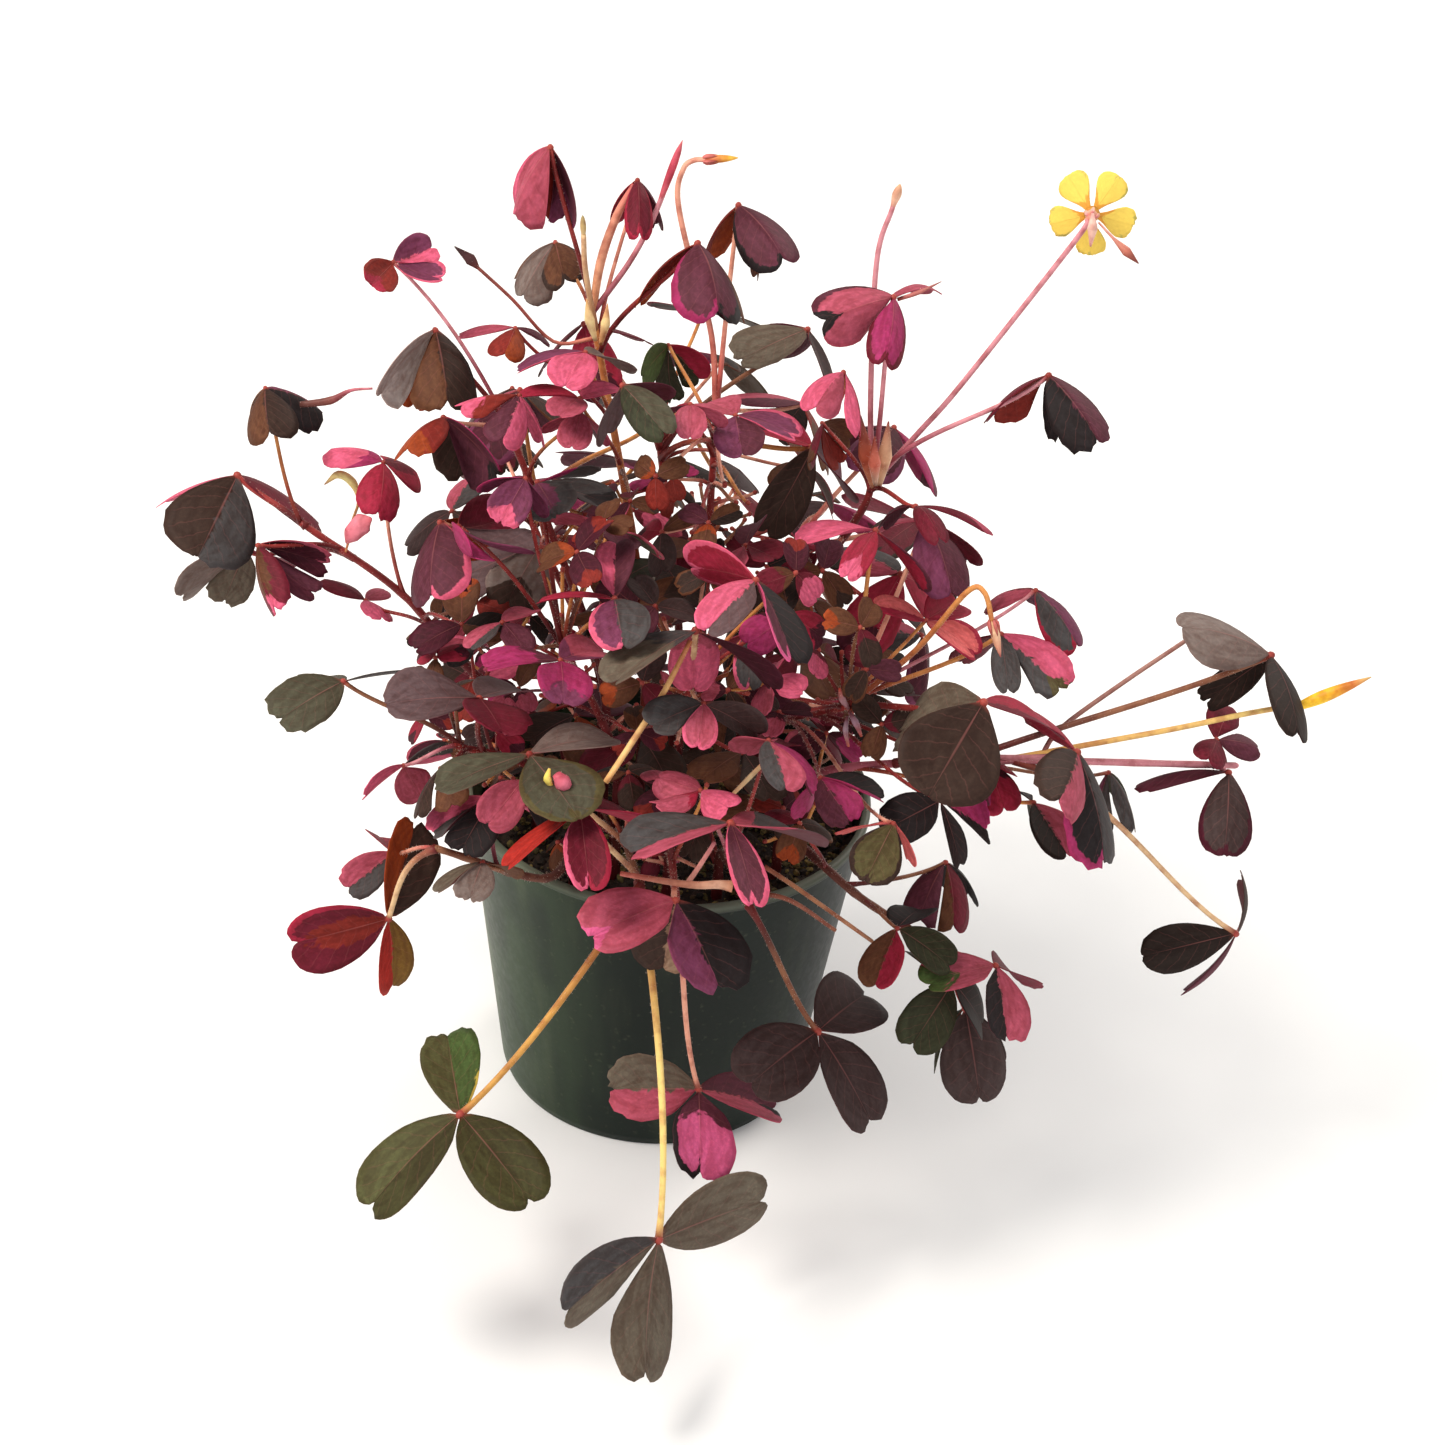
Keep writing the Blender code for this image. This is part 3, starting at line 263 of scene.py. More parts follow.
# Each stem's leaves, two lines to a leaf. The first: the pixel of its hub, how far that lies behind the
# pot's axis (mm), the pixels of its three leaflet tips, whether each leans near (n) or far (f), leaflet
# length (mm), fold along the midrib (degrees, negative for a roof), where on its stem the stalk starts,
# and the stalk's colour. The second: each leaflet's width and turn, then its ground colour and up to two
# patches, each with its place: a side of the picture, tip, point, base, rim, heart or bits.
LEAVES = {
    "summit_stem": """
550 147 18 510 212 538 205 562 212 fff 21 -50 1 red
broad open rose+pink left rim, red, open plum+purple tip
555 242 40 520 298 568 290 514 262 fnf 17 -30 1 orange
broad open grey, brown+umber rim, brown
585 352 -2 516 372 622 364 566 394 nfn 17 15 0.85 orange
pink+purple up, grey, pink
579 398 -10 517 397 621 385 560 422 ffn 14 20 0.8 orange
crimson, pink, rose
637 180 22 640 243 658 216 624 208 nff 17 -60 1 salmon
slim maroon+crimson rim, slim plum, crimson
697 243 12 719 324 744 312 634 297 nff 23 -45 1 red
broad plum+magenta left rim+black right rim, brown+black left, slim slim red+orange tip
515 328 12 457 334 506 361 545 336 fnf 13 -40 0.9 red
slim rose, red+orange down, slim plum
""",
    "upper_left_stem": """
393 262 8 374 292 431 241 444 278 nff 13 -30 1 pink
red+crimson tip, pink+purple up, purple+pink rim
435 330 6 377 398 451 412 408 404 nnf 22 -40 1 red
broad open ash, broad open umber+brown left, slim brown+orange tip
443 417 -8 410 457 500 477 462 472 nnf 19 -40 1 salmon
red+orange tip, broad open plum+magenta up rim+black point, umber
519 395 -12 459 409 503 447 540 440 nnf 16 -35 1 red
red+pink tip, plum+pink right, slim pink
580 412 -18 545 430 601 441 572 452 ffn 12 10 0.95 orange
rose, rose+plum left, rose
440 522 -26 434 603 462 585 480 545 nff 22 -30 0.8 salmon
broad open plum+pink right rim, slim slim plum, slim orange
""",
    "left_arm_stem": """
265 388 6 276 441 321 411 246 415 nff 17 -50 1 orange
broad umber+brown left, broad open black+purple up, slim slim tan
237 475 -6 205 562 313 520 150 498 nff 27 -15 1 red
broad whole open umber+slate right, maroon, slim edge pink
245 550 26 178 598 216 603 290 568 ffn 19 10 0.9 red
grey, taupe, maroon
258 545 -14 281 613 322 562 312 594 nff 20 -50 0.95 red
narrow open maroon+brown heart+pink point, slim deep+rose up rim, slim plum
383 462 -2 324 447 380 519 411 467 fnf 16 -30 0.8 salmon
pink+magenta base, crimson, broad crimson+maroon heart
365 600 12 321 578 387 620 382 588 fnf 12 -20 0.7 red
maroon, pink, slim rose
""",
    "left_low_stem": """
403 765 -42 366 797 451 752 418 800 nff 14 15 1 pink
pink, pink+slate up, rose
343 681 -16 281 722 298 675 427 670 nff 21 10 1 brown
open sage, slim edge sage, slim edge slate
479 698 -48 387 704 510 735 520 690 nnf 24 20 0.9 red
whole open dusk, maroon, dusk
440 768 -56 418 817 456 806 470 768 nnf 14 -20 1 red
umber, brown, maroon
470 640 -18 427 642 447 665 492 655 fnf 12 20 0.9 red
pink, slate+rose up, slate+pink up
""",
    "left_front_stem": """
388 918 -64 291 942 412 821 384 996 nff 26 25 1 beige
maroon+crimson left rim+red heart, umber+orange left, slim ochre+scarlet left
392 852 -50 345 890 372 838 402 886 nff 15 20 1 salmon
rose+slate down, crimson, rose
482 862 -72 437 892 472 899 510 880 nnf 14 15 0.8 brown
taupe, grey, brown
492 797 -58 431 833 462 852 524 812 nnf 18 15 0.9 pink
slate+pink left, black, pink
""",
    "front_left_stem": """
460 1114 -112 368 1208 538 1194 436 1041 nnf 32 12 1 ochre
narrow moss+bronze right, narrow bronze, slim moss+fern right+gold right base rim
658 1239 -128 771 1210 565 1298 645 1377 fnn 34 15 1 yellow
narrow taupe, slim taupe+slate up, narrow taupe
579 806 -88 592 889 507 866 649 833 nnf 24 25 1 beige
slim maroon+crimson right rim+pink left rim, slim slim scarlet, maroon+crimson down
529 754 -78 440 790 582 818 613 738 nnf 24 12 0.8 beige
whole sage, broad whole sage+olive rim, whole grey
522 780 -62 486 826 550 822 562 776 nff 15 25 0.8 red
rose, black, brown
""",
    "front_stem": """
675 900 -90 588 935 721 988 660 979 nnf 26 15 1 salmon
open rose+fuchsia point, broad open black+purple left, open tan+umber up
698 1089 -100 607 1085 700 1173 779 1116 nnf 24 20 1 salmon
open taupe+rose down, fuchsia+plum base+black left rim, rose+black point+plum up
""",
    "front_right_stem": """
817 1031 -80 744 1080 872 1000 872 1126 nfn 27 12 1 brown
cocoa, cocoa, cocoa
730 823 -94 629 852 819 847 754 903 nfn 27 20 0.85 salmon
slate+rose down, slate+rose base, slim slim plum+pink rim
700 790 -80 653 803 730 807 655 777 nnf 13 25 0.7 pink
rose+crimson base, pink, rose
768 740 -76 785 791 813 795 744 755 nnf 16 20 0.7 red
slate+rose right, magenta+plum left, rose
""",
    "right_low_stem": """
995 965 -64 921 983 1003 1038 1028 989 nnf 21 20 1 salmon
rose+fern tip, rose+black left, maroon
952 982 -70 908 1048 987 1032 925 958 nff 20 10 1 brown
forest, ink, forest
965 1008 -56 982 1109 945 1062 992 1050 fff 27 -50 1 red
cocoa, forest, cocoa
897 928 -58 952 968 872 987 925 912 nnf 17 15 0.75 brown
forest, brown+crimson right, black
945 862 -38 951 930 915 920 974 900 nnf 19 -40 0.7 brown
maroon+brown left, plum, black
""",
    "right_long_stem": """
1270 655 -14 1172 627 1284 738 1218 702 nnf 28 -25 0.7 brown
whole open grey, slim open ink, slim slim ink
1216 739 -22 1233 703 1263 748 1200 760 ffn 13 -30 1 red
maroon, plum, maroon
1228 772 -30 1216 854 1137 785 1242 840 nff 24 -35 1 pink
narrow whole open cocoa+deep rim, slim deep, slim edge plum
1235 933 -34 1140 956 1255 879 1191 999 nff 25 -30 0.8 beige
slim whole open ink, slim slim edge umber, slim slim edge plum
1076 752 -40 1103 868 1044 802 1021 702 nnf 29 -25 0.65 pink
open black+slate up+magenta left rim, narrow umber+rose down, slim crimson
1033 802 -48 1065 857 1005 788 1042 832 nff 18 20 0.55 orange
open ink+rose right, slim black, slim forest
1108 772 -24 1134 832 1098 838 1130 800 nff 17 -45 0.7 brown
slim edge slate, slim slate+purple left, slim edge forest
""",
    "right_crown_stem": """
875 530 -22 797 544 925 590 842 582 nfn 21 20 1 orange
narrow pink, crimson+plum rim, slim slim crimson+pink tip
925 520 -12 868 530 950 599 975 560 fnf 22 -25 1 salmon
slim edge rose, plum+purple left, open plum+maroon up
925 620 -34 977 657 871 606 963 600 nnf 16 25 1 orange
salmon+crimson rim, slim salmon+crimson down, crimson
1035 590 -6 994 598 1079 649 1060 606 fnf 18 -35 1 pink
maroon+rose down, slate+purple up+crimson down rim, purple
1000 634 -14 1060 692 1002 694 964 662 nnf 22 10 1 orange
open pink+slate left+olive point, slim slim slate, slim maroon
983 702 -60 923 797 904 732 1067 733 nff 29 10 1 red
broad whole open umber, whole open taupe, slim maroon+crimson up
940 800 -64 984 829 958 866 883 832 nnf 18 20 0.9 red
magenta+black down, slim slim black, open black
985 763 -40 1003 812 970 800 1012 768 nnf 14 -20 0.9 red
broad open crimson+deep base, magenta+plum tip, crimson
893 823 -76 862 881 841 836 912 864 nff 17 10 0.8 salmon
whole olive+umber rim, slim salmon, slim salmon
820 777 -62 850 823 884 800 806 816 nnf 15 20 0.8 red
plum+magenta up, black+magenta left, magenta
""",
    "upper_right_stem": """
893 297 16 817 327 881 371 941 279 nnf 22 -45 1 pink
open rose+plum up rim+black point, slim magenta+maroon rim, slim slim edge rose
843 372 2 811 416 858 439 826 404 nnf 18 -40 1 orange
narrow pink+rose down, slim crimson+pink left, slim slim salmon
822 423 -4 806 467 840 463 853 436 nff 13 -30 0.9 red
maroon+brown tip, red, brown
1048 375 0 995 412 1097 447 1066 434 fnf 22 -40 1 pink
maroon+red up, open plum+black left, slim slim black
915 506 -10 995 531 935 545 884 522 fnf 21 -50 0.9 red
slim slim edge maroon+rose tip, slim slim maroon, slim slim deep
""",
    "centre_stem": """
695 630 -62 612 686 776 689 692 692 nff 27 25 1 beige
taupe+slate base, slim deep, slim pink+rose base
755 580 -58 685 562 704 635 792 665 fnn 24 20 1 salmon
open crimson+pink rim, slim pink+dusk right, plum+fuchsia left rim+black right
703 703 -80 649 727 697 749 761 736 nnf 17 15 1 beige
open slate, slim rose+pink rim, open cocoa
747 632 -48 749 691 778 652 721 656 nff 16 15 0.9 orange
slim slate+pink left rim, slim umber+rose left, rose
768 680 -44 804 692 762 717 779 660 nnf 11 15 0.9 orange
pink, rose, pink
742 752 -30 700 780 770 800 790 742 nnf 19 10 0.7 red
brown, umber, maroon
""",
    "centre_left_stem": """
525 478 -24 500 526 480 490 532 510 nff 14 20 1 red
purple+pink tip, purple+magenta rim, purple
537 482 -14 616 508 562 522 585 470 nnf 21 15 1 red
slate+black tip, slate+purple heart, slate+magenta base
608 530 -22 549 521 662 560 622 552 fnn 16 20 1 orange
rose, sage+rose rim, plum
614 598 -48 614 536 535 600 626 652 ffn 20 20 1 orange
slim plum+pink left, slim slim edge crimson, slate+purple left+pink left rim
540 545 -4 457 578 508 609 580 570 nnf 22 5 1 orange
broad whole open dusk, grey+umber tip, brown
458 526 -12 536 554 480 562 502 512 nnf 20 -45 1 red
purple+dusk up, magenta, maroon
560 660 -54 485 668 604 650 566 706 nfn 19 20 1 pink
magenta+plum base, rose+purple base, magenta+purple tip
502 622 -38 470 650 528 653 532 608 nnf 12 15 1 red
slate+rose up, plum, rose
640 735 -20 592 772 672 790 690 722 nnf 20 10 0.7 red
maroon, umber, brown
575 715 -14 530 742 590 770 622 700 nnf 20 10 0.6 orange
umber, brown+orange base, plum
""",
    "upper_middle_stem": """
738 205 28 706 248 785 269 758 270 fnf 22 -45 1 salmon
slim edge red+orange up, open plum+black left rim, slim slim edge brown
735 415 -16 798 440 742 462 704 396 nnf 17 15 1 red
purple+pink rim, purple+plum up, rose
668 345 24 641 383 701 377 672 400 nff 15 -10 1 orange
open fern, forest+crimson up, forest
690 404 -10 655 424 718 424 690 443 ffn 12 30 1 red
crimson+plum down, rose+slate up, rose
622 385 -14 668 441 603 430 657 392 nff 20 -10 1 orange
slim sage+forest down, dusk, plum
745 545 -24 776 562 732 578 758 518 nnf 13 20 0.75 red
maroon, rose, plum
660 560 10 610 590 690 610 700 540 nnf 21 10 0.7 red
forest, umber, brown
800 650 10 760 690 830 700 845 640 nnf 20 10 0.5 orange
maroon, brown, plum
""",
}

BUD_STALKS = (
    BudStalk("upper_middle_stem", 1.0,
             ((711, 335, 14), (688, 252, 18), (677, 196, 20), (683, 168, 20), (693, 160, 20), (705, 159, 20)),
             8, "salmon", "ripe"),
    BudStalk("summit_stem", 1.0, ((630, 260, 18), (655, 212, 20), (676, 156, 22)), 5, "pink", "spear"),
    BudStalk("summit_stem", 0.97, ((585, 270, 12), (583, 234, 12)), 5, "beige", "hook"),
    BudStalk("upper_right_stem", 1.0, ((870, 400, 8), (876, 262, 18), (893, 204, 20)), 6, "pink", "knob"),
    BudStalk("right_crown_stem", 1.0,
             ((915, 650, -34), (966, 592, -36), (984, 592, -38), (992, 622, -40)), 9, "orange", "pale"),
    BudStalk("right_long_stem", 0.75,
             ((1165, 730, -28), (1242, 714, -28), (1306, 702, -28), (1330, 693, -28)), 12, "yellow", "long"),
)

# Buds: (along, radius) in parts of the length, and the colours from foot to tip
BUDS = {
    "ripe": (
        ((-0.1, 0.05), (0.1, 0.09), (0.35, 0.125), (0.6, 0.11), (0.85, 0.06), (1.0, 0.012)),
        ((206, 104, 92), (226, 138, 88), (244, 180, 60), (248, 206, 90)),
    ),
    "long": (
        ((-0.85, 0.045), (-0.6, 0.10), (-0.25, 0.135), (0.1, 0.125), (0.5, 0.08), (0.9, 0.012)),
        ((214, 160, 60), (250, 200, 48), (252, 206, 40), (244, 176, 44), (206, 116, 50), (226, 190, 120)),
    ),
    "pale": (
        ((-0.1, 0.06), (0.1, 0.10), (0.35, 0.125), (0.6, 0.10), (0.85, 0.05), (1.0, 0.012)),
        ((236, 186, 140), (240, 200, 160), (228, 160, 130), (190, 96, 96)),
    ),
    "knob": (
        ((-0.1, 0.10), (0.15, 0.15), (0.4, 0.2), (0.62, 0.17), (0.8, 0.09), (0.88, 0.03)),
        ((232, 170, 150), (240, 200, 164), (228, 164, 120)),
    ),
    "hook": (
        ((-0.1, 0.07), (0.1, 0.12), (0.35, 0.15), (0.6, 0.14), (0.85, 0.09), (1.0, 0.02)),
        ((220, 190, 140), (196, 168, 112), (150, 132, 88)),
    ),
    "spear": (
        ((-2.6, 0.10), (-1.6, 0.17), (-0.6, 0.20), (0.2, 0.16), (0.6, 0.08), (0.88, 0.012)),
        ((206, 104, 112), (188, 62, 84), (200, 84, 100), (226, 120, 120)),
    ),
}
BUD_SIDES = 10
OPEN_BUDS = ("ripe", "pale")
SEPALS = 5
SEPAL_WIDTHS = (0.2, 0.4, 0.4, 0.28, 0.06)
SEPAL_TONES = ((214, 118, 112), (172, 84, 70))

# Sprigs that no solid has, under their stems' names. A sprig's three lines: how round it is towards the
# viewer and its radii (mm), its path as pixels and depths (mm), and its colours, both from foot to tip
SPRIGS = (
    # Bracts, a thick stalk and a folded young leaf at the summit
    ("summit_stem", """
1 0.9 1.15 1.05 0.75
592 314 15, 600 262 17, 616 216 20, 634 184 22
232 170 120, 232 164 130, 228 150 124, 206 100 96
0.5 0.5 1.3 0.1
595 340 10, 589 319 10, 586 298 11
238 206 150, 244 220 160, 210 150 90
0.5 0.5 1.2 0.1
600 344 9, 605 323 9, 607 303 10
196 120 70, 244 214 150, 232 170 110
1 0.55 0.45 0.45
593 338 15, 553 341 14, 512 299 12, 475 265 10
206 126 104, 170 84 74, 130 66 56
0.5 0.4 1.5 0.15
478 268 10, 470 259 10, 454 246 10
110 50 44, 76 40 40, 58 32 34
"""),
    # Young growth on the left arm
    ("left_arm_stem", """
1 0.3 0.35
345 552 -4, 349 537 -6
210 130 80, 220 140 90
0.25 0.4 2.4 2.9 0.4
346 542 -7, 352 533 -8, 362 523 -8, 371 518 -8
206 90 96, 220 116 130, 226 130 144, 210 100 110
1 0.35 0.4 1.2 1.1 0.15
352 520 0, 358 500 0, 352 482 0, 338 474 0, 324 484 0
206 140 90, 238 204 130, 242 226 150, 200 150 100
1 0.8 1.1 0.45 0.3
300 404 4, 330 400 4, 350 390 4, 372 388 4
92 52 44, 120 62 54, 186 96 110, 214 130 140
"""),
    # Bracts and an awl on the upper right, and two buds by the flower
    ("upper_right_stem", """
0.5 0.6 2.1 0.2
873 488 0, 866 455 -3, 860 415 -3
236 170 130, 206 104 74, 88 34 34
0.5 0.6 1.9 0.2
878 488 0, 884 456 -4, 888 421 -4
240 200 160, 230 180 140, 130 50 44
0.5 0.5 1.6 0.15
875 484 -3, 874 462 -7, 874 436 -7
240 210 180, 222 120 96, 150 62 46
1 0.5 0.6 0.1
897 299 15, 918 292 15, 941 281 15
170 90 84, 190 112 104, 140 74 70
1 0.4 1.3 0.2
1092 213 8, 1092 228 6, 1090 246 6
236 180 170, 242 200 180, 224 150 140
1 0.25 0.4 1.25 0.15
1098 222 10, 1113 238 9, 1126 251 9, 1138 263 9
230 170 150, 226 150 130, 196 110 90, 140 70 60
"""),
    # A young hairy knot on the right of the crown
    ("right_crown_stem", """
1 0.4 0.9 0.3
848 708 -31, 842 699 -34, 839 688 -35
170 110 120, 196 150 160, 206 84 60
1 0.4 0.9 0.3
849 712 -31, 855 722 -35, 861 736 -36
160 100 116, 186 150 170, 200 80 56
1 0.4 0.7 0.3
847 716 -32, 845 730 -36, 848 746 -37
150 96 110, 190 160 176, 206 100 70
"""),
    # Stalks and young tips across the front
    ("front_stem", """
1 0.6 0.9 1.1 1.5
620 873 -76, 687 884 -79, 718 884 -79, 732 886 -79
196 96 84, 226 160 130, 232 184 154, 226 160 120
1 0.7 0.6 0.5
686 884 -78, 700 864 -77, 714 842 -76
226 170 150, 222 150 140, 206 120 124
"""),
    ("centre_stem", """
1 0.6 0.7 0.75 0.7
690 640 -63, 662 694 -70, 634 738 -76, 605 782 -82
206 120 80, 236 186 116, 240 196 128, 236 180 112
"""),
    ("front_right_stem", """
1 0.6 0.65 0.5
768 758 -70, 750 776 -74, 733 793 -76
214 170 120, 232 200 150, 220 176 130
1 0.7 0.6 0.5
752 892 -64, 790 900 -66, 835 930 -66
110 56 44, 140 80 60, 150 92 70
"""),
    ("front_left_stem", """
1 1.2 2.1 1.1
568 790 -86, 562 782 -88, 556 774 -88
216 96 110, 226 116 136, 220 100 120
0.6 0.3 1 0.3
549 768 -87, 547 779 -88, 554 790 -88
236 200 90, 242 224 110, 230 196 90
"""),
    ("front_right_stem", """
1 0.6 0.6 0.5
764 866 -60, 800 890 -62, 872 941 -62
130 66 48, 168 112 76, 176 120 88
"""),
    # A bare stalk behind the large leaf on the right
    ("right_long_stem", """
1 0.7 0.65 0.6
1040 757 -30, 1060 728 -26, 1120 684 -20, 1184 641 -15
140 76 72, 150 104 94, 170 124 112
"""),
)
SPRIG_SIDES = 8
SPRIG_STEPS = 5

# The open flower, which faces away from the viewer
FLOWER_STEM = "upper_right_stem"
PEDICEL_AT = 0.9
PEDICEL_PATH = ((920, 430, 4), (960, 385, 6), (1067, 250, 8))
FLOWER_CENTRE = (1091, 215, 14)
FLOWER_FACING = (0.12, 0.95, -0.26)
CALYX_LENGTH = 5 * MM
CALYX_RADIUS = 1.5 * MM
CALYX_LIP = 1 * MM
CALYX_SIDES = 12
CALYX_RINGS = 9
CALYX_TONES = ((224, 140, 120), (236, 176, 150))
LOBE_WIDTHS = (0.25, 0.55, 0.6, 0.4, 0.08)
LOBE_TONES = ((232, 150, 150), (236, 196, 160))
GAP = 0.3 * MM
COROLLA_TUBE = 1.6 * MM
COROLLA_RADII = (1.2 * MM, 2.0 * MM)
PETALS = 5
PETAL_LENGTH = 12 * MM
PETAL_RISE = math.radians(26)
PETAL_FOLD = math.radians(12)
PETAL_TURN = math.radians(-15)
PETAL_YELLOW = (236, 204, 92)
PETAL_AMBER = (222, 156, 62)
PETAL_OLIVE = (196, 180, 92)
# Stamens, by turns short and long
STAMENS = 10
STAMEN_HEIGHTS = (2.9 * MM, 4.2 * MM)
STAMEN_RADII = (0.16 * MM, 0.12 * MM)
STAMEN_TONE = (226, 208, 110)
ANTHER_TONE = (238, 196, 60)

# Leaves on the far side, which the photograph doesn't show, by the same seeded rule as the solids
FILL_SEED = 31
FILL_COUNTS = {"back_left_stem": 8, "back_stem": 8, "back_right_stem": 8}
FILL_TRIES = 200
FILL_FROM = (0, 0, 30 * MM)
FILL_OUTWARD = 0.7
FILL_RISE = (-0.7, 0.8)
FILL_REACH = (30 * MM, 64 * MM)
FILL_SIZE = (17 * MM, 26 * MM)
FILL_TILT = 0.8
FILL_DROOP = 0.9
FILL_FOLD = (-35, 30)
FILL_ROOT = (0.85, 1.0)
FILL_LOOKS = (
    "narrow plum", "slim maroon", "slim umber", "narrow cocoa", "pink+rose base", "deep+plum tip",
    "slim maroon+umber rim", "deep+purple rim", "narrow slate+rose left", "slim brown+red base",
    "slim umber+brown rim", "magenta+plum tip", "narrow crimson+deep tip", "slim umber+maroon rim", "dusk",
    "narrow plum+rose up", "taupe",
)

# Outlines: how far the notch lies from the hub, and (along, aside) at even steps along the rim from hub
# to notch, all in parts of a leaflet's length
LEAFLET = (0.925, (
    (0.0, 0.028), (0.10, 0.125), (0.26, 0.245), (0.45, 0.325), (0.65, 0.352),
    (0.82, 0.325), (0.94, 0.240), (0.985, 0.125), (0.955, 0.030),
))
WHOLE_LEAFLET = (0.985, (
    (0.0, 0.026), (0.11, 0.105), (0.27, 0.220), (0.45, 0.315), (0.63, 0.358),
    (0.80, 0.330), (0.92, 0.235), (0.975, 0.115), (0.985, 0.030),
))
PETAL = (0.99, (
    (0.0, 0.045), (0.17, 0.068), (0.35, 0.135), (0.54, 0.240), (0.73, 0.318),
    (0.88, 0.300), (0.96, 0.205), (0.985, 0.100), (0.99, 0.030),
))
RIM_STEPS = 2
HALF_WIDTH_STEPS = 5
BLADE_HALF = 0.17 * MM
CREASE_WIDTH = 0.03
# How blades vary
NOTCH_DEEPER = (0.0, 0.03)
BLADE_WIDTHS = (0.95, 1.06)
ARCHES = (0.015, 0.05)
TWISTS = (-0.1, 0.1)
RIPPLES = (0.004, 0.014)
RAGGED_RIMS = (0.008, 0.012, 0.03)
# How much a folded blade hollows and a roofed one arches, where its arch ends, how the rows sweep along
# the midrib and out to the rim, waves along the rim, and how much thinner the rim is
FOLD_HOLLOWS = 0.9
ROOF_ARCHES = 0.085
ARCH_END = 0.95
MIDRIB_SWEEP = 1.3
ROW_SWEEP = 1.1
RIM_WAVES = 7.5
RIM_THINNER = 0.45
LEAFLET_TURN = math.radians(34)
WIDTHS = {"broad": 1.2, "narrow": 0.84, "slim": 0.68}
TURNS = {"open": 1, "edge": -1}
LOOKS_SEED = 17

# Where a leaflet's patches lie: sides of the picture, and how deep in a patch a point is, by how far it
# lies along the leaflet (s) and aside of the midrib (v)
SIDES = {"right": CAMERA_X, "left": -CAMERA_X, "up": CAMERA_Y, "down": -CAMERA_Y}
PLACES = {
    "tip": lambda s, v: (s - 0.68) * 2.0,
    "point": lambda s, v: (s - 0.84) * 2.0,
    "base": lambda s, v: (0.38 - s) * 2.0,
    "rim": lambda s, v: (max(abs(v), s * 1.02 - 0.1) - 0.82) * 2.2,
    "heart": lambda s, v: 0.42 - max(abs(v), s - 0.42),
}
NO_PATCH = -9.0

# Small leaves and bare stalks inside the crown: pixels of its middle and reach, depth (mm), length
# (mm), and the pixels of a gap in it that shows the floor
INNER_SEED = 8
INNER_LEAVES = 92
BARE_STALKS = 60
INNER_TRIES = 260
INNER_MIDDLE = (655, 672)
INNER_REACH = (235, 200)
INNER_DEPTH = (-50, 48)
INNER_SIZE = (7, 14)
INNER_FOLD = (-35, 25)
INNER_DROOP = (-0.1, 0.55)
INNER_OUTWARD = 0.4
INNER_SWAY = ((-0.6, 0.6), (-0.9, 0.3))
INNER_STEPS = 12
INNER_ABOVE_SOIL = 8 * MM
INNER_ABOVE_STEM = 3 * MM
CLEAR_MIDDLE = (738, 482)
CLEAR_REACH = (60, 46)
BARE_SIZE = 2.5
INNER_SHOWS = 4
INNER_HIDES = 2
HIDING_REACH = 60 * MM
# The plain blade that stands for an inner leaflet while it looks for room
ROUGH_BLADE = ((0.04, 0), (0.4, 0.3), (0.75, 0.42), (1.02, 0), (0.75, -0.42), (0.4, -0.3))
ROUGH_HALF = 0.7 * MM
INNER_LOOKS = (
    "plum", "maroon", "umber", "brown", "deep", "cocoa", "umber+maroon base", "maroon+brown base",
    "pink+maroon base", "red", "brown+orange base", "ink", "rose+deep base", "brown+orange tip",
    "magenta+deep base", "umber+rose right", "crimson+deep tip", "umber+brown rim", "deep+rose rim",
    "brown+umber tip", "ink+brown left", "deep+red tip",
)

# What each point of a mesh stores for the shaders
COLOURS = ("ground", "patch", "accent")
VECTORS = ("place", "fields", "spot")


# The tables

def triples(text):
    """The groups of three numbers in a line, set apart by commas."""
    return [tuple(float(part) for part in group.split()) for group in text.split(",")]


def read_look(words):
    """A leaflet's look from its words, such as "broad open plum+pink right rim"."""
    first, *patches = words.split("+")
    *shape, ground = first.split()
    return Look(
        math.prod(WIDTHS.get(word, 1.0) for word in shape),
        sum(TURNS.get(word, 0) for word in shape),
        "whole" in shape,
        rgb(*TINTS[ground]),
        [(rgb(*TINTS[tone]), places) for tone, *places in (patch.split() for patch in patches)],
    )


def read_leaf(figures, words):
    *marks, lean, size, fold, at, tone = figures.split()
    u, v, y, *tips = (float(mark) for mark in marks)
    tips = list(zip(tips[::2], tips[1::2]))
    looks = [read_look(look) for look in words.split(",")]
    return Leaf((u, v), y, tips, lean, float(size) * MM, math.radians(float(fold)), float(at), tone, looks)


def read_leaves(table):
    lines = table.strip().splitlines()
    return [read_leaf(*pair) for pair in zip(lines[::2], lines[1::2])]


def read_sprigs(table):
    sprigs = []
    lines = table.strip().splitlines()
    for figures, path, tones in zip(lines[::3], lines[1::3], lines[2::3]):
        roundness, *radii = (float(figure) for figure in figures.split())
        sprigs.append(Sprig(roundness, radii, triples(path), triples(tones)))
    return sprigs


# Colours and materials

def linear(colour):
    """A displayed colour, 0 to 255, as the linear numbers that shaders mix."""
    parts = (c / 255 for c in colour)
    return tuple(p / 12.92 if p < 0.04 else ((p + 0.055) / 1.055) ** 2.4 for p in parts)


def rgb(*colour):
    """The same with an alpha of 1, as sockets and meshes store it."""
    return (*linear(colour), 1)


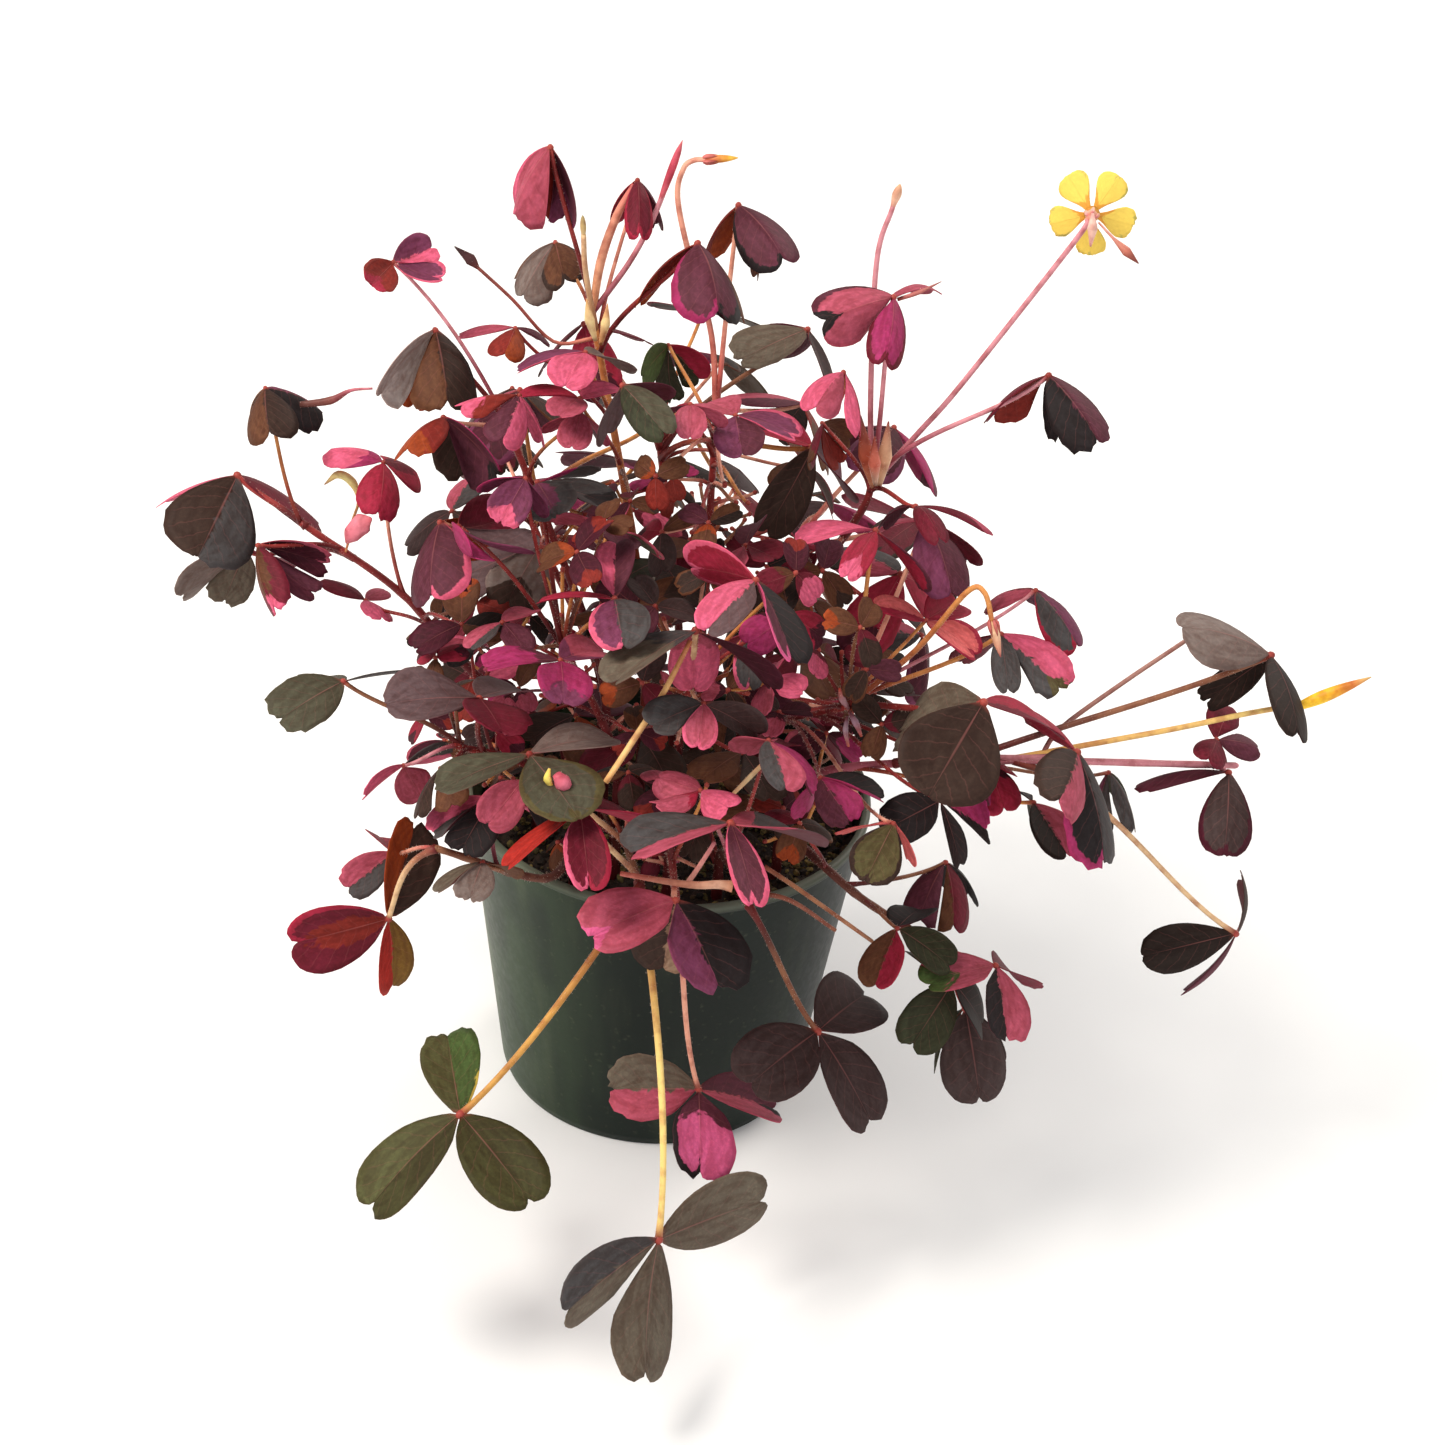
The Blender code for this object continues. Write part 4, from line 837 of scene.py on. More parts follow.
class Shade:
    """A shader socket that holds a number. Arithmetic on it adds Math nodes."""

    def __init__(self, finish, socket):
        self.finish = finish
        self.socket = socket

    def out(self, name):
        return Shade(self.finish, self.socket.node.outputs[name])

    def math(self, operation, *values):
        return self.finish.node("Math", {"operation": operation}, dict(enumerate(values)))

    def __add__(self, other):
        return self.math("ADD", self, other)

    def __sub__(self, other):
        return self.math("SUBTRACT", self, other)

    def __rsub__(self, other):
        return self.math("SUBTRACT", other, self)

    def __mul__(self, other):
        return self.math("MULTIPLY", self, other)

    def __abs__(self):
        return self.math("ABSOLUTE", self)

    __radd__ = __add__
    __rmul__ = __mul__

    def rise(self, low, high):
        """0 below low, 1 above high and smooth between."""
        settings = {"interpolation_type": "SMOOTHSTEP"}
        return self.finish.node("MapRange", settings, {"Value": self, "From Min": low, "From Max": high})


class Finish:
    """One material. node() makes every node in it."""

    def __init__(self, name):
        self.material = bpy.data.materials.new(name)
        self.material.use_nodes = True
        self.tree = self.material.node_tree
        self.tree.nodes.clear()

    def node(self, kind, settings, sockets):
        """Makes one shader node: its settings first, then its sockets' values and links."""
        made = self.tree.nodes.new("ShaderNode" + kind)
        for name, value in settings.items():
            setattr(made, name, value)
        for key, value in sockets.items():
            if isinstance(value, Shade):
                self.tree.links.new(value.socket, made.inputs[key])
            else:
                made.inputs[key].default_value = value
        return Shade(self, made.outputs[0]) if made.outputs else None

    def stored(self, name, out="Color"):
        """What the mesh stores at each point under a name."""
        return self.node("Attribute", {"attribute_name": name}, {}).out(out)

    def place_on_piece(self):
        return self.node("TexCoord", {}, {}).out("Object")

    def parts(self, vector):
        """A vector's X. Its Y and Z are further outputs."""
        return self.node("SeparateXYZ", {}, {"Vector": vector})

    def vector(self, x, y, z):
        return self.node("CombineXYZ", {}, {"X": x, "Y": y, "Z": z})

    def stretched(self, vector, share):
        """A place with its height scaled, so that a grain there is drawn out upright."""
        return self.node("VectorMath", {"operation": "MULTIPLY"}, {0: vector, 1: (1.0, 1.0, share)})

    def grain(self, place, scale, detail=2.0):
        return self.node("TexNoise", {}, {"Vector": place, "Scale": scale, "Detail": detail})

    def mixed(self, share, first, second, blend="MIX"):
        made = self.node("Mix", {"data_type": "RGBA", "blend_type": blend}, {0: share, 6: first, 7: second})
        return Shade(self, made.socket.node.outputs[2])

    def dyed(self, colour, share, *dye):
        """A colour that is multiplied by a dye where the share is 1."""
        return self.mixed(share, colour, (*dye, 1), "MULTIPLY")

    def layered(self, colour, *layers):
        """A colour under layers, each a share and the colour that it brings."""
        for share, over in layers:
            colour = self.mixed(share, colour, over)
        return colour

    def bump(self, height, distance, strength):
        return self.node("Bump", {}, {"Height": height, "Distance": distance, "Strength": strength})

    def shaded(self, sockets):
        """Ends the material in a Principled shader."""
        surface = self.node("BsdfPrincipled", {}, sockets)
        self.node("OutputMaterial", {}, {"Surface": surface})
        return self.material


# The last argument scales the mottling, darker streaks, painted shade and painted glints
def blade_finish(name, vein_tint, vein_share, foot_tint, mottle_and_painted_light):
    """A leaf or petal: a ground with two jagged patches that follow the side veins, a midrib and veins."""
    f = Finish(name)
    along = f.parts(f.stored("place", "Vector"))
    aside, seed = along.out("Y"), along.out("Z")
    inside = f.parts(f.stored("fields", "Vector"))
    across = abs(aside)
    jagged = f.grain(f.vector(along * 13.0, aside * 2.4, seed * 40.0), 1.0, 4.0) - 0.5
    mottled = f.grain(f.vector(along * 4.0, aside * 4.0, seed * 23.0), 1.3, 5.0)
    velvet_and_glints = f.grain(f.stored("spot", "Vector"), 1100.0, 3.0)
    colour = f.layered(
        f.stored("ground"),
        ((inside + jagged * 0.6).rise(-0.035, 0.045), f.stored("patch")),
        ((inside.out("Y") + jagged * 0.6).rise(-0.035, 0.045), f.stored("accent")),
    )
    # Darker tone: painted shade at the base, along the midrib and on one half; own streaks by the veins
    shade_and_streak_tone = f.dyed(colour, 1.0, 0.62, 0.52, 0.50)
    colour = f.layered(
        colour,
        ((1 - along.rise(0.0, 0.85)) * (0.62 * mottle_and_painted_light), shade_and_streak_tone),
        ((1 - across.rise(0.02, 0.22)) * (0.3 * mottle_and_painted_light), shade_and_streak_tone),
        ((aside * 30.0).rise(-1.0, 1.0) * (0.2 * mottle_and_painted_light), shade_and_streak_tone),
        (jagged.rise(0.02, 0.2) * (0.5 * mottle_and_painted_light), shade_and_streak_tone),
    )
    colour = f.dyed(colour, (1 - mottled.rise(0.36, 0.64)) * mottle_and_painted_light, 0.76, 0.68, 0.66)
    # Painted glints: fine speckles brightened for the velvety sheen; the same noise also roughens the bump
    colour = f.dyed(colour, velvet_and_glints.rise(0.42, 0.72) * (0.6 * mottle_and_painted_light), 1.35, 1.34, 1.30)
    wander = along * 8.0 + (mottled - 0.5) * 0.5 + seed * 3.0
    ribs = f.node("Math", {"operation": "PINGPONG"}, {0: wander, 1: 0.5})
    veins = (0.5 - ribs).rise(0.43, 0.5) * across.rise(0.02, 0.12) * (1 - across.rise(0.75, 1.0))
    midrib = 1 - across.rise(0.008, 0.035)
    lines = f.node("Math", {"operation": "MAXIMUM"}, {0: veins * 0.22, 1: midrib * (1 - along * 0.7)})
    colour = f.mixed(lines * vein_share, colour, rgb(*vein_tint))
    colour = f.dyed(colour, across.rise(0.93, 0.99) * 0.3, 1.7, 1.5, 1.5)
    colour = f.mixed((1 - along.rise(0.02, 0.13)) * 0.5, colour, rgb(*foot_tint))
    underside = f.mixed(0.3, colour, rgb(136, 40, 62))
    colour = f.mixed(inside.out("Z"), colour, underside)
    height = lines * -0.6 + jagged * 0.25 + velvet_and_glints * 0.3
    return f.shaded({
        "Base Color": colour,
        "Roughness": 0.52 + mottled * 0.18,
        "Specular IOR Level": 0.12,
        "Normal": f.bump(height, 0.25 * MM, 0.7),
    })


def stalk_finish():
    """Stems, stalks, buds and hubs: the mesh's own tone with streaks along it."""
    f = Finish("stalk_skin")
    spot = f.stored("spot", "Vector")
    patches = f.grain(spot, 260.0, 3.0)
    colour = f.dyed(f.stored("ground"), 1 - patches.rise(0.3, 0.6), 0.66, 0.5, 0.5)
    return f.shaded({
        "Base Color": colour,
        "Roughness": 0.42 + patches * 0.2,
        "Specular IOR Level": 0.3,
        "Normal": f.bump(f.grain(spot, 2400.0, 2.0), 0.12 * MM, 0.5),
    })


def hair_finish():
    f = Finish("pale_hair")
    spread = f.grain(f.stored("spot", "Vector"), 900.0, 1.0)
    colour = f.mixed(spread, rgb(232, 190, 170), rgb(250, 232, 214))
    return f.shaded({"Base Color": colour, "Roughness": 0.6, "Sheen Weight": 0.3})


def pot_finish():
    """Thin dark green nursery plastic with upright streaks and dust, and painted shade and reflection."""
    f = Finish("green_plastic")
    spot = f.place_on_piece()
    x = f.parts(spot)
    streaks = f.grain(f.stretched(spot, 0.12), 90.0, 4.0)
    # Painted leaf shadows: dark oval patches where this noise is low
    leaf_shadow_ovals = f.grain(f.stretched(spot, 0.55), 60.0, 1.0)
    dust = f.grain(spot, 480.0, 5.0)
    shaded_side = (x + streaks * 26 * MM).rise(-32 * MM, 10 * MM)
    lit_edge = 1 - (x + streaks * 6 * MM).rise(-52 * MM, -40 * MM)
    colour = f.layered(
        rgb(52, 68, 45),
        # Painted shade: the right side darkens to near-black green
        (shaded_side, rgb(20, 28, 23)),
        (streaks.rise(0.5, 0.72) * (1 - shaded_side * 0.75) * 0.4, rgb(88, 100, 70)),
        # Painted reflection: a pale olive band along the left edge
        (lit_edge * 0.5, rgb(116, 114, 88)),
        # Painted leaf shadows as dark oval patches
        ((1 - leaf_shadow_ovals.rise(0.24, 0.54)) * 0.6, rgb(18, 28, 22)),
        (dust.rise(0.58, 0.82) * 0.16, rgb(126, 130, 104)),
        (x.out("Z").rise(87 * MM, 90 * MM) * 0.35, rgb(150, 154, 136)),
    )
    return f.shaded({
        "Base Color": colour,
        "Roughness": 0.3 + dust * 0.25,
        "Specular IOR Level": 0.14,
        "Normal": f.bump(streaks * 0.4 + dust * 0.2, 0.3 * MM, 0.35),
    })


def soil_finish():
    f = Finish("potting_mix")
    spot = f.stored("spot", "Vector")
    crumbs = f.grain(spot, 700.0, 6.0)
    damp = f.grain(spot, 90.0, 3.0)
    colour = f.dyed(f.stored("ground"), 1 - crumbs.rise(0.35, 0.65), 0.35, 0.32, 0.3)
    return f.shaded({
        "Base Color": colour,
        "Roughness": 0.75 + damp * 0.2,
        "Normal": f.bump(crumbs, 0.8 * MM, 1.0),
    })


def floor_finish():
    f = Finish("pale_floor")
    soft = f.grain(f.place_on_piece(), 3.0, 2.0)
    colour = f.mixed(soft, (0.90, 0.90, 0.895, 1), (0.93, 0.93, 0.925, 1))
    return f.shaded({"Base Color": colour, "Roughness": 0.8})


# Where things are

def sight(u, v):
    """The direction in which the camera sees a pixel, one unit deep."""
    across = (u - PHOTO_MIDDLE) / PHOTO_FOCAL
    down = (v - PHOTO_MIDDLE) / PHOTO_FOCAL
    return CAMERA_X * across - CAMERA_Y * down + VIEW


def seen_at(u, v, y_mm):
    """The point seen at a pixel, on the upright plane that lies y_mm behind the pot's axis."""
    ray = sight(u, v)
    return EYE + ray * ((y_mm * MM - EYE.y) / ray.y)


def towards_tip(hub, pixel, lean, size):
    """The vector from a hub to a leaflet's tip that is seen at a pixel."""
    flat = EYE + sight(*pixel) * (hub - EYE).dot(VIEW) - hub
    deep = math.sqrt(max(0.0, size ** 2 - flat.length_squared))
    return flat + VIEW * (deep if lean == "f" else -deep)


def even(count):
    """Even shares from 0 to 1."""
    return [k / (count - 1) for k in range(count)]


def between(stops, share):
    """The numbers at a share of the way along a list of stops."""
    place = min(max(share, 0.0), 1.0) * (len(stops) - 1)
    k = min(int(place), len(stops) - 2)
    return [a + (b - a) * (place - k) for a, b in zip(stops[k], stops[k + 1])]


def tinted(tones, shares):
    """Colours along a list of displayed tones, one for each share of the way."""
    stops = [linear(tone) for tone in tones]
    return [(*between(stops, share), 1) for share in shares]


def through(points, steps):
    """A smooth curve through the points, each stretch cut into steps."""
    ends = [points[0] * 2 - points[1], *points, points[-1] * 2 - points[-2]]
    curve = [points[0]]
    for a, b, c, d in zip(ends, ends[1:], ends[2:], ends[3:]):
        for k in range(1, steps + 1):
            t = k / steps
            bend = (a * 2 - b * 5 + c * 4 - d) * t * t + (b * 3 - a - c * 3 + d) * t**3
            curve.append(b + ((c - a) * t + bend) / 2)
    return curve


def outline_curve(outline, steps):
    return through([Vector((x, y, 0)) for x, y in outline], steps)


def spun(arm, axis, turn):
    """A direction turned about an axis."""
    return Matrix.Rotation(turn, 3, axis) @ arm


def on_circle(radius, turn):
    return radius * math.cos(turn), radius * math.sin(turn)


def three_midribs(axis, spin, droop, size):
    """Midribs evenly round an axis, that hang from it by their droop."""
    first = axis.orthogonal().normalized()
    return [(spun(first, axis, spin + math.tau * k / 3) - axis * droop).normalized() * size for k in range(3)]


def rosette_axis(midribs):
    """The way a leaf's upper side faces, from the directions of its three midribs."""
    a, b, c = (midrib.normalized() for midrib in midribs)
    axis = (a.cross(b) + b.cross(c) + c.cross(a)).normalized()
    droop = -(a + b + c) / 3
    hint = droop if droop.length > DROOP_SHOWS else Vector(LEAF_FACES)
    if axis.dot(hint) < 0:
        axis = -axis
    return (axis + droop).normalized()


def stalk_path(start, growing, hub, axis, bow, steps):
    """A leaf stalk's curve, from its stem to its leaf's hub."""
    span = (hub - start).length
    straight = (hub - start).normalized()
    first, last = STALK_HANDLES
    heading = (growing * STALK_FOLLOWS + straight + UP * STALK_RISES + bow).normalized()
    leaving = start + heading * span * first
    arriving = hub - (straight + axis * STALK_SQUARE).normalized() * span * last
    curve = []
    for k in range(steps + 1):
        t = k / steps
        s = 1 - t
        curve.append(start * s**3 + leaving * 3 * s * s * t + arriving * 3 * s * t * t + hub * t**3)
    return curve


def marks_of(hub, midribs):
    """The points of a leaf that its solid has to hold."""
    return [hub, *(hub + midrib * share for midrib in midribs for share in LEAF_MARKS)]


# Meshes

def placed(name, data):
    """A new thing in the scene."""
    thing = bpy.data.objects.new(name, data)
    bpy.context.scene.collection.objects.link(thing)
    return thing


def bands(sides, rings, first=0):
    """The faces between rings of points, of which the first ring starts at point first."""
    faces = []
    for low in range(first, first + (rings - 1) * sides, sides):
        high = low + sides
        for i in range(sides):
            j = (i + 1) % sides
            faces.append((low + i, low + j, high + j, high + i))
    return faces


def tube(path, radii, sides):
    """A closed tube along a path: its points and faces."""
    points = []
    side = (path[1] - path[0]).orthogonal().normalized()
    for k, centre in enumerate(path):
        along = (path[min(k + 1, len(path) - 1)] - path[max(k - 1, 0)]).normalized()
        side = (side - along * side.dot(along)).normalized()
        across = along.cross(side)
        for i in range(sides):
            turn = math.tau * i / sides
            points.append(centre + (side * math.cos(turn) + across * math.sin(turn)) * radii[k])
    foot, head = tuple(range(sides))[::-1], tuple(range(len(points) - sides, len(points)))
    return points, [foot, *bands(sides, len(path)), head]


def turned_shape(bottom, rings, top, sides):
    """A closed shape turned about the pot's axis, from rings of a radius and a height between two points.

    A ring's height may be a function of x and y.
    """
    points = [Vector((0, 0, bottom))]
    for radius, height in rings:
        for i in range(sides):
            x, y = on_circle(radius, math.tau * i / sides)
            points.append(Vector((x, y, height(x, y) if callable(height) else height)))
    points.append(Vector((0, 0, top)))
    last = 1 + (len(rings) - 1) * sides
    foot = [(0, 1 + (i + 1) % sides, 1 + i) for i in range(sides)]
    head = [(last + i, last + (i + 1) % sides, len(points) - 1) for i in range(sides)]
    return points, foot + bands(sides, len(rings), 1) + head


def sheet_faces(rows, across):
    """The faces of a closed thin sheet, whose top has its points row by row, and then its underside."""
    count = rows * across
    faces = []
    for i in range(rows - 1):
        for j in range(across - 1):
            a = i * across + j
            quad = (a, a + across, a + across + 1, a + 1)
            faces.append(quad[::-1])
            faces.append(tuple(k + count for k in quad))
    loop = [*range(across), *(i * across + across - 1 for i in range(1, rows))]
    loop += [(rows - 1) * across + j for j in range(across - 2, -1, -1)]
    loop += [i * across for i in range(rows - 2, 0, -1)]
    return faces + [(a, a + count, b + count, b) for a, b in zip(loop, loop[1:] + loop[:1])]


class Shell:
    """Points and faces of one piece, with what each point stores for the shaders."""

    def __init__(self, name):
        self.name = name
        self.points = []
        self.faces = []
        self.slots = []
        self.stored = {key: [] for key in COLOURS + VECTORS}

    def add(self, points, faces, slot=0, **stored):
        """Adds a closed shape. What it stores is one value for all its points, or a list with each one's."""
        first = len(self.points)
        self.points += points
        self.faces += [tuple(first + i for i in face) for face in faces]
        self.slots += [slot] * len(faces)
        stored["spot"] = [tuple(point) for point in points]
        for key, values in self.stored.items():
            value = stored.get(key, (0, 0, 0, 1) if key in COLOURS else (0, 0, 0))
            values += value if isinstance(value, list) else [value] * len(points)

    def add_tube(self, path, radii, sides, colours, slot=0):
        """Adds a tube of one colour, or with a list of its rings' colours."""
        if isinstance(colours, list):
            colours = [colour for colour in colours for _ in range(sides)]
        self.add(*tube(path, radii, sides), slot, ground=colours)

    def add_ball(self, centre, axis, radius, length, tone, sides=8, rings=5, slot=0):
        """Adds a small closed lump, longer along its axis: a hub or an anther."""
        turns = [math.pi * (k / rings - 0.5) for k in range(rings + 1)]
        path = [centre + axis * length * math.sin(turn) for turn in turns]
        radii = [max(radius * math.cos(turn), radius * 0.12) for turn in turns]
        self.add_tube(path, radii, sides, tone, slot)

    def add_hairs(self, path, radii, hairs, draw):
        """Adds short pale hairs that stand out round a stalk and lean to its tip."""
        spacing, length = hairs
        for k in range(len(path) - 1):
            step = path[k + 1] - path[k]
            along = step.normalized()
            side = along.orthogonal().normalized()
            for _ in range(int(step.length / spacing + draw.random())):
                where = draw.random()
                out = spun(side, along, draw.uniform(0, math.tau))
                ahead, aside = along * HAIR_FOOT[0] * MM, along.cross(out) * HAIR_FOOT[1] * MM
                root = path[k] + step * where + out * (radii[k] + (radii[k + 1] - radii[k]) * where) * 0.9
                lean = (out + along * draw.uniform(*HAIR_LEANS)).normalized()
                tip = root + lean * length * draw.uniform(*HAIR_LENGTHS)
                points = [root + ahead, root + aside, root - aside, tip]
                self.add(points, [(0, 2, 1), (0, 1, 3), (1, 2, 3), (2, 0, 3)], 1)

    def piece(self, *materials):
        """The finished piece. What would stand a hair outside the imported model's box is drawn in to it."""
        mesh = bpy.data.meshes.new(self.name)
        inside = [[min(max(c, a), b) for c, a, b in zip(point, *CAD_BOX)] for point in self.points]
        mesh.from_pydata(inside, [], self.faces)
        mesh.polygons.foreach_set("material_index", self.slots)
        for material in materials:
            mesh.materials.append(material)
        for key, values in self.stored.items():
            kind, field = ("FLOAT_COLOR", "color") if key in COLOURS else ("FLOAT_VECTOR", "vector")
            attribute = mesh.attributes.new(key, kind, "POINT")
            attribute.data.foreach_set(field, [part for value in values for part in value])
        mesh.shade_smooth()
        return placed(self.name, mesh)


def turned(face, along, hub, way):
    """A leaflet's face, turned about its midrib so that the viewer sees more of it, or less."""
    if not way:
        return face
    towards = EYE - hub
    towards = (towards - along * along.dot(towards)).normalized()
    if face.dot(towards) < 0:
        towards = -towards
    off = face.angle(towards)
    turn = min(off, LEAFLET_TURN) if way > 0 else -min(math.pi / 2 - off, LEAFLET_TURN)
    return spun(face, face.cross(towards).normalized(), turn)


def patch_field(places, side, s, v):
    """How deep in a patch a point of a leaflet lies: above 0 inside, below 0 outside."""
    depth = 1.0
    for word in places:
        if word in SIDES:
            here = (v if side.dot(SIDES[word]) > 0 else -v) * 0.9 - 0.02
        elif word in PLACES:
            here = PLACES[word](s, v)
        else:
            here = noise.noise(Vector((s * 3.4, v * 1.6, side.x * 40))) * 0.9 - 0.16
        depth = min(depth, here)
    return depth


def add_blade(shell, hub, midrib, face, fold, walls, look, draw, outline, plain):
    """One thin leaflet or petal: a grid whose rows run from the midrib out to the rim as side veins do."""
    size = midrib.length
    along = midrib / size
    side = face.cross(along)
    notch, rim = WHOLE_LEAFLET if look.whole else outline
    curve = outline_curve(rim, RIM_STEPS)
    notch = notch - draw.uniform(*NOTCH_DEEPER)
    width = draw.uniform(*BLADE_WIDTHS) * look.width
    crease = fold * 0.5
    hollow = FOLD_HOLLOWS * math.sin(fold)
    arch = draw.uniform(*ARCHES) + ROOF_ARCHES * max(0.0, math.sin(-fold))
    twist = draw.uniform(*TWISTS)
    ripple = draw.uniform(*RIPPLES)
    ragged = draw.choice(RAGGED_RIMS)
    phase = draw.uniform(0, 6.28)
    seed = draw.random()
    patches = (look.patches + [None, None])[:2]
    tops, bottoms, place, fields = [], [], [], []
    for edge, s in zip(curve, even(len(curve))):
        spine = notch * s**MIDRIB_SWEEP
        for j in range(-HALF_WIDTH_STEPS, HALF_WIDTH_STEPS + 1):
            v = j / HALF_WIDTH_STEPS
            r = abs(v)
            x = spine + (edge.x - spine) * r**ROW_SWEEP
            y = edge.y * width * r * (1 if v > 0 else -1)
            wobble = 1 + ragged * noise.noise(Vector((s * 11, v * 2, seed * 50))) * r**3 * 2
            x, y = x * wobble, y * wobble
            hook = math.sqrt(y * y + CREASE_WIDTH * CREASE_WIDTH)
            z = (hook - CREASE_WIDTH) * math.sin(crease) + hollow * y * y + twist * x * y
            u = x / ARCH_END
            z += arch * 4 * u * (1 - u)
            z += ripple * math.sin(RIM_WAVES * s + phase + (1.7 if v > 0 else 0)) * r * r
            point = hub + (along * x + side * (y * math.cos(crease)) + face * z) * size
            for wall, way in walls:
                short = LEAFLET_GAP - (point - hub).dot(wall) * way
                if j and short > 0:
                    point = point + wall * way * short
            steep = math.tan(crease) * y / hook + 2 * hollow * y + twist * x
            rise = arch * 4 * (1 - 2 * u) / ARCH_END
            outward = (face - side * steep - along * rise).normalized()
            thin = BLADE_HALF * (1 - RIM_THINNER * r**3)
            tops.append(point + outward * thin)
            bottoms.append(point - outward * thin)
            place.append((s, v, seed))
            fields.append(tuple(patch_field(p[1], side, s, v) if p else NO_PATCH for p in patches))
    above = not plain and face.dot(EYE - hub) > 0
    fields = [(*pair, 0.0) for pair in fields] + [(*pair, float(above)) for pair in fields]
    patch, accent = (p[0] if p else look.ground for p in patches)
    shell.add(tops + bottoms, sheet_faces(len(curve), 2 * HALF_WIDTH_STEPS + 1), ground=look.ground,
              patch=patch, accent=accent, place=place * 2, fields=fields)


def add_rosette(shell, hub, midribs, axis, fold, looks, draw, outline=LEAFLET, plain=False):
    """Leaflets or petals round a hub, each kept to its own share of the circle."""
    first = axis.orthogonal().normalized()
    second = axis.cross(first)
    bearing = [math.atan2(m.dot(second), m.dot(first)) for m in midribs]
    order = sorted(range(len(midribs)), key=bearing.__getitem__)
    middles = []
    for a, b in zip(order, order[1:] + order[:1]):
        following = bearing[b] + (math.tau if bearing[b] < bearing[a] else 0)
        middle = (bearing[a] + following) / 2
        middles.append(first * math.cos(middle) + second * math.sin(middle))
    for place, k in enumerate(order):
        along = midribs[k].normalized()
        face = (axis - along * axis.dot(along)).normalized()
        face = turned(face, along, hub, looks[k].turn)
        walls = [(axis.cross(middles[place - 1]), 1), (axis.cross(middles[place]), -1)]
        add_blade(shell, hub, midribs[k], face, fold, walls, looks[k], draw, outline, plain)


def add_sprig(shell, sprig, draw):
    """A stalk, bract or folded young leaf along its path, flattened towards the viewer if it says so."""
    path = through([seen_at(*mark) for mark in sprig.path], SPRIG_STEPS)
    shares = even(len(path))
    stops = [(radius,) for radius in sprig.radii]
    radii = [between(stops, share)[0] * MM for share in shares]
    points, faces = tube(path, radii, SPRIG_SIDES)
    for k, point in enumerate(points):
        deep = VIEW.dot(point - path[k // SPRIG_SIDES])
        points[k] = point - VIEW * deep * (1 - sprig.roundness)
    colours = [colour for colour in tinted(sprig.tones, shares) for _ in range(SPRIG_SIDES)]
    shell.add(points, faces, ground=colours)
    shell.add_hairs(path, radii, SPRIG_HAIRS, draw)


def add_bud(shell, path, size, kind):
    """A slim bud on the end of a stalk. An open one has narrow sepals round its foot."""
    along = (path[-1] - path[-2]).normalized()
    side = along.orthogonal().normalized()
    profile, tones = BUDS[kind]
    curve = outline_curve(profile, 3)
    centres = [path[-1] + along * p.x * size * MM for p in curve]
    radii = [max(p.y, 0.01) * size * MM for p in curve]
    shell.add_tube(centres, radii, BUD_SIDES, tinted(tones, even(len(curve))))
    widest = max(radius for _, radius in profile)
    for k in range(SEPALS if kind in OPEN_BUDS else 0):
        out = spun(side, along, math.tau * k / SEPALS)
        line = []
        for t in even(len(SEPAL_WIDTHS)):
            reach = size * MM * widest * (0.45 + 0.62 * math.sin(math.pi * min(0.6, 0.15 + t)))
            line.append(path[-1] + along * (t * 0.45 - 0.08) * size * MM + out * reach)
        widths = [size * MM * widest * width for width in SEPAL_WIDTHS]
        shell.add_tube(line, widths, 5, tinted(SEPAL_TONES, even(len(line))))


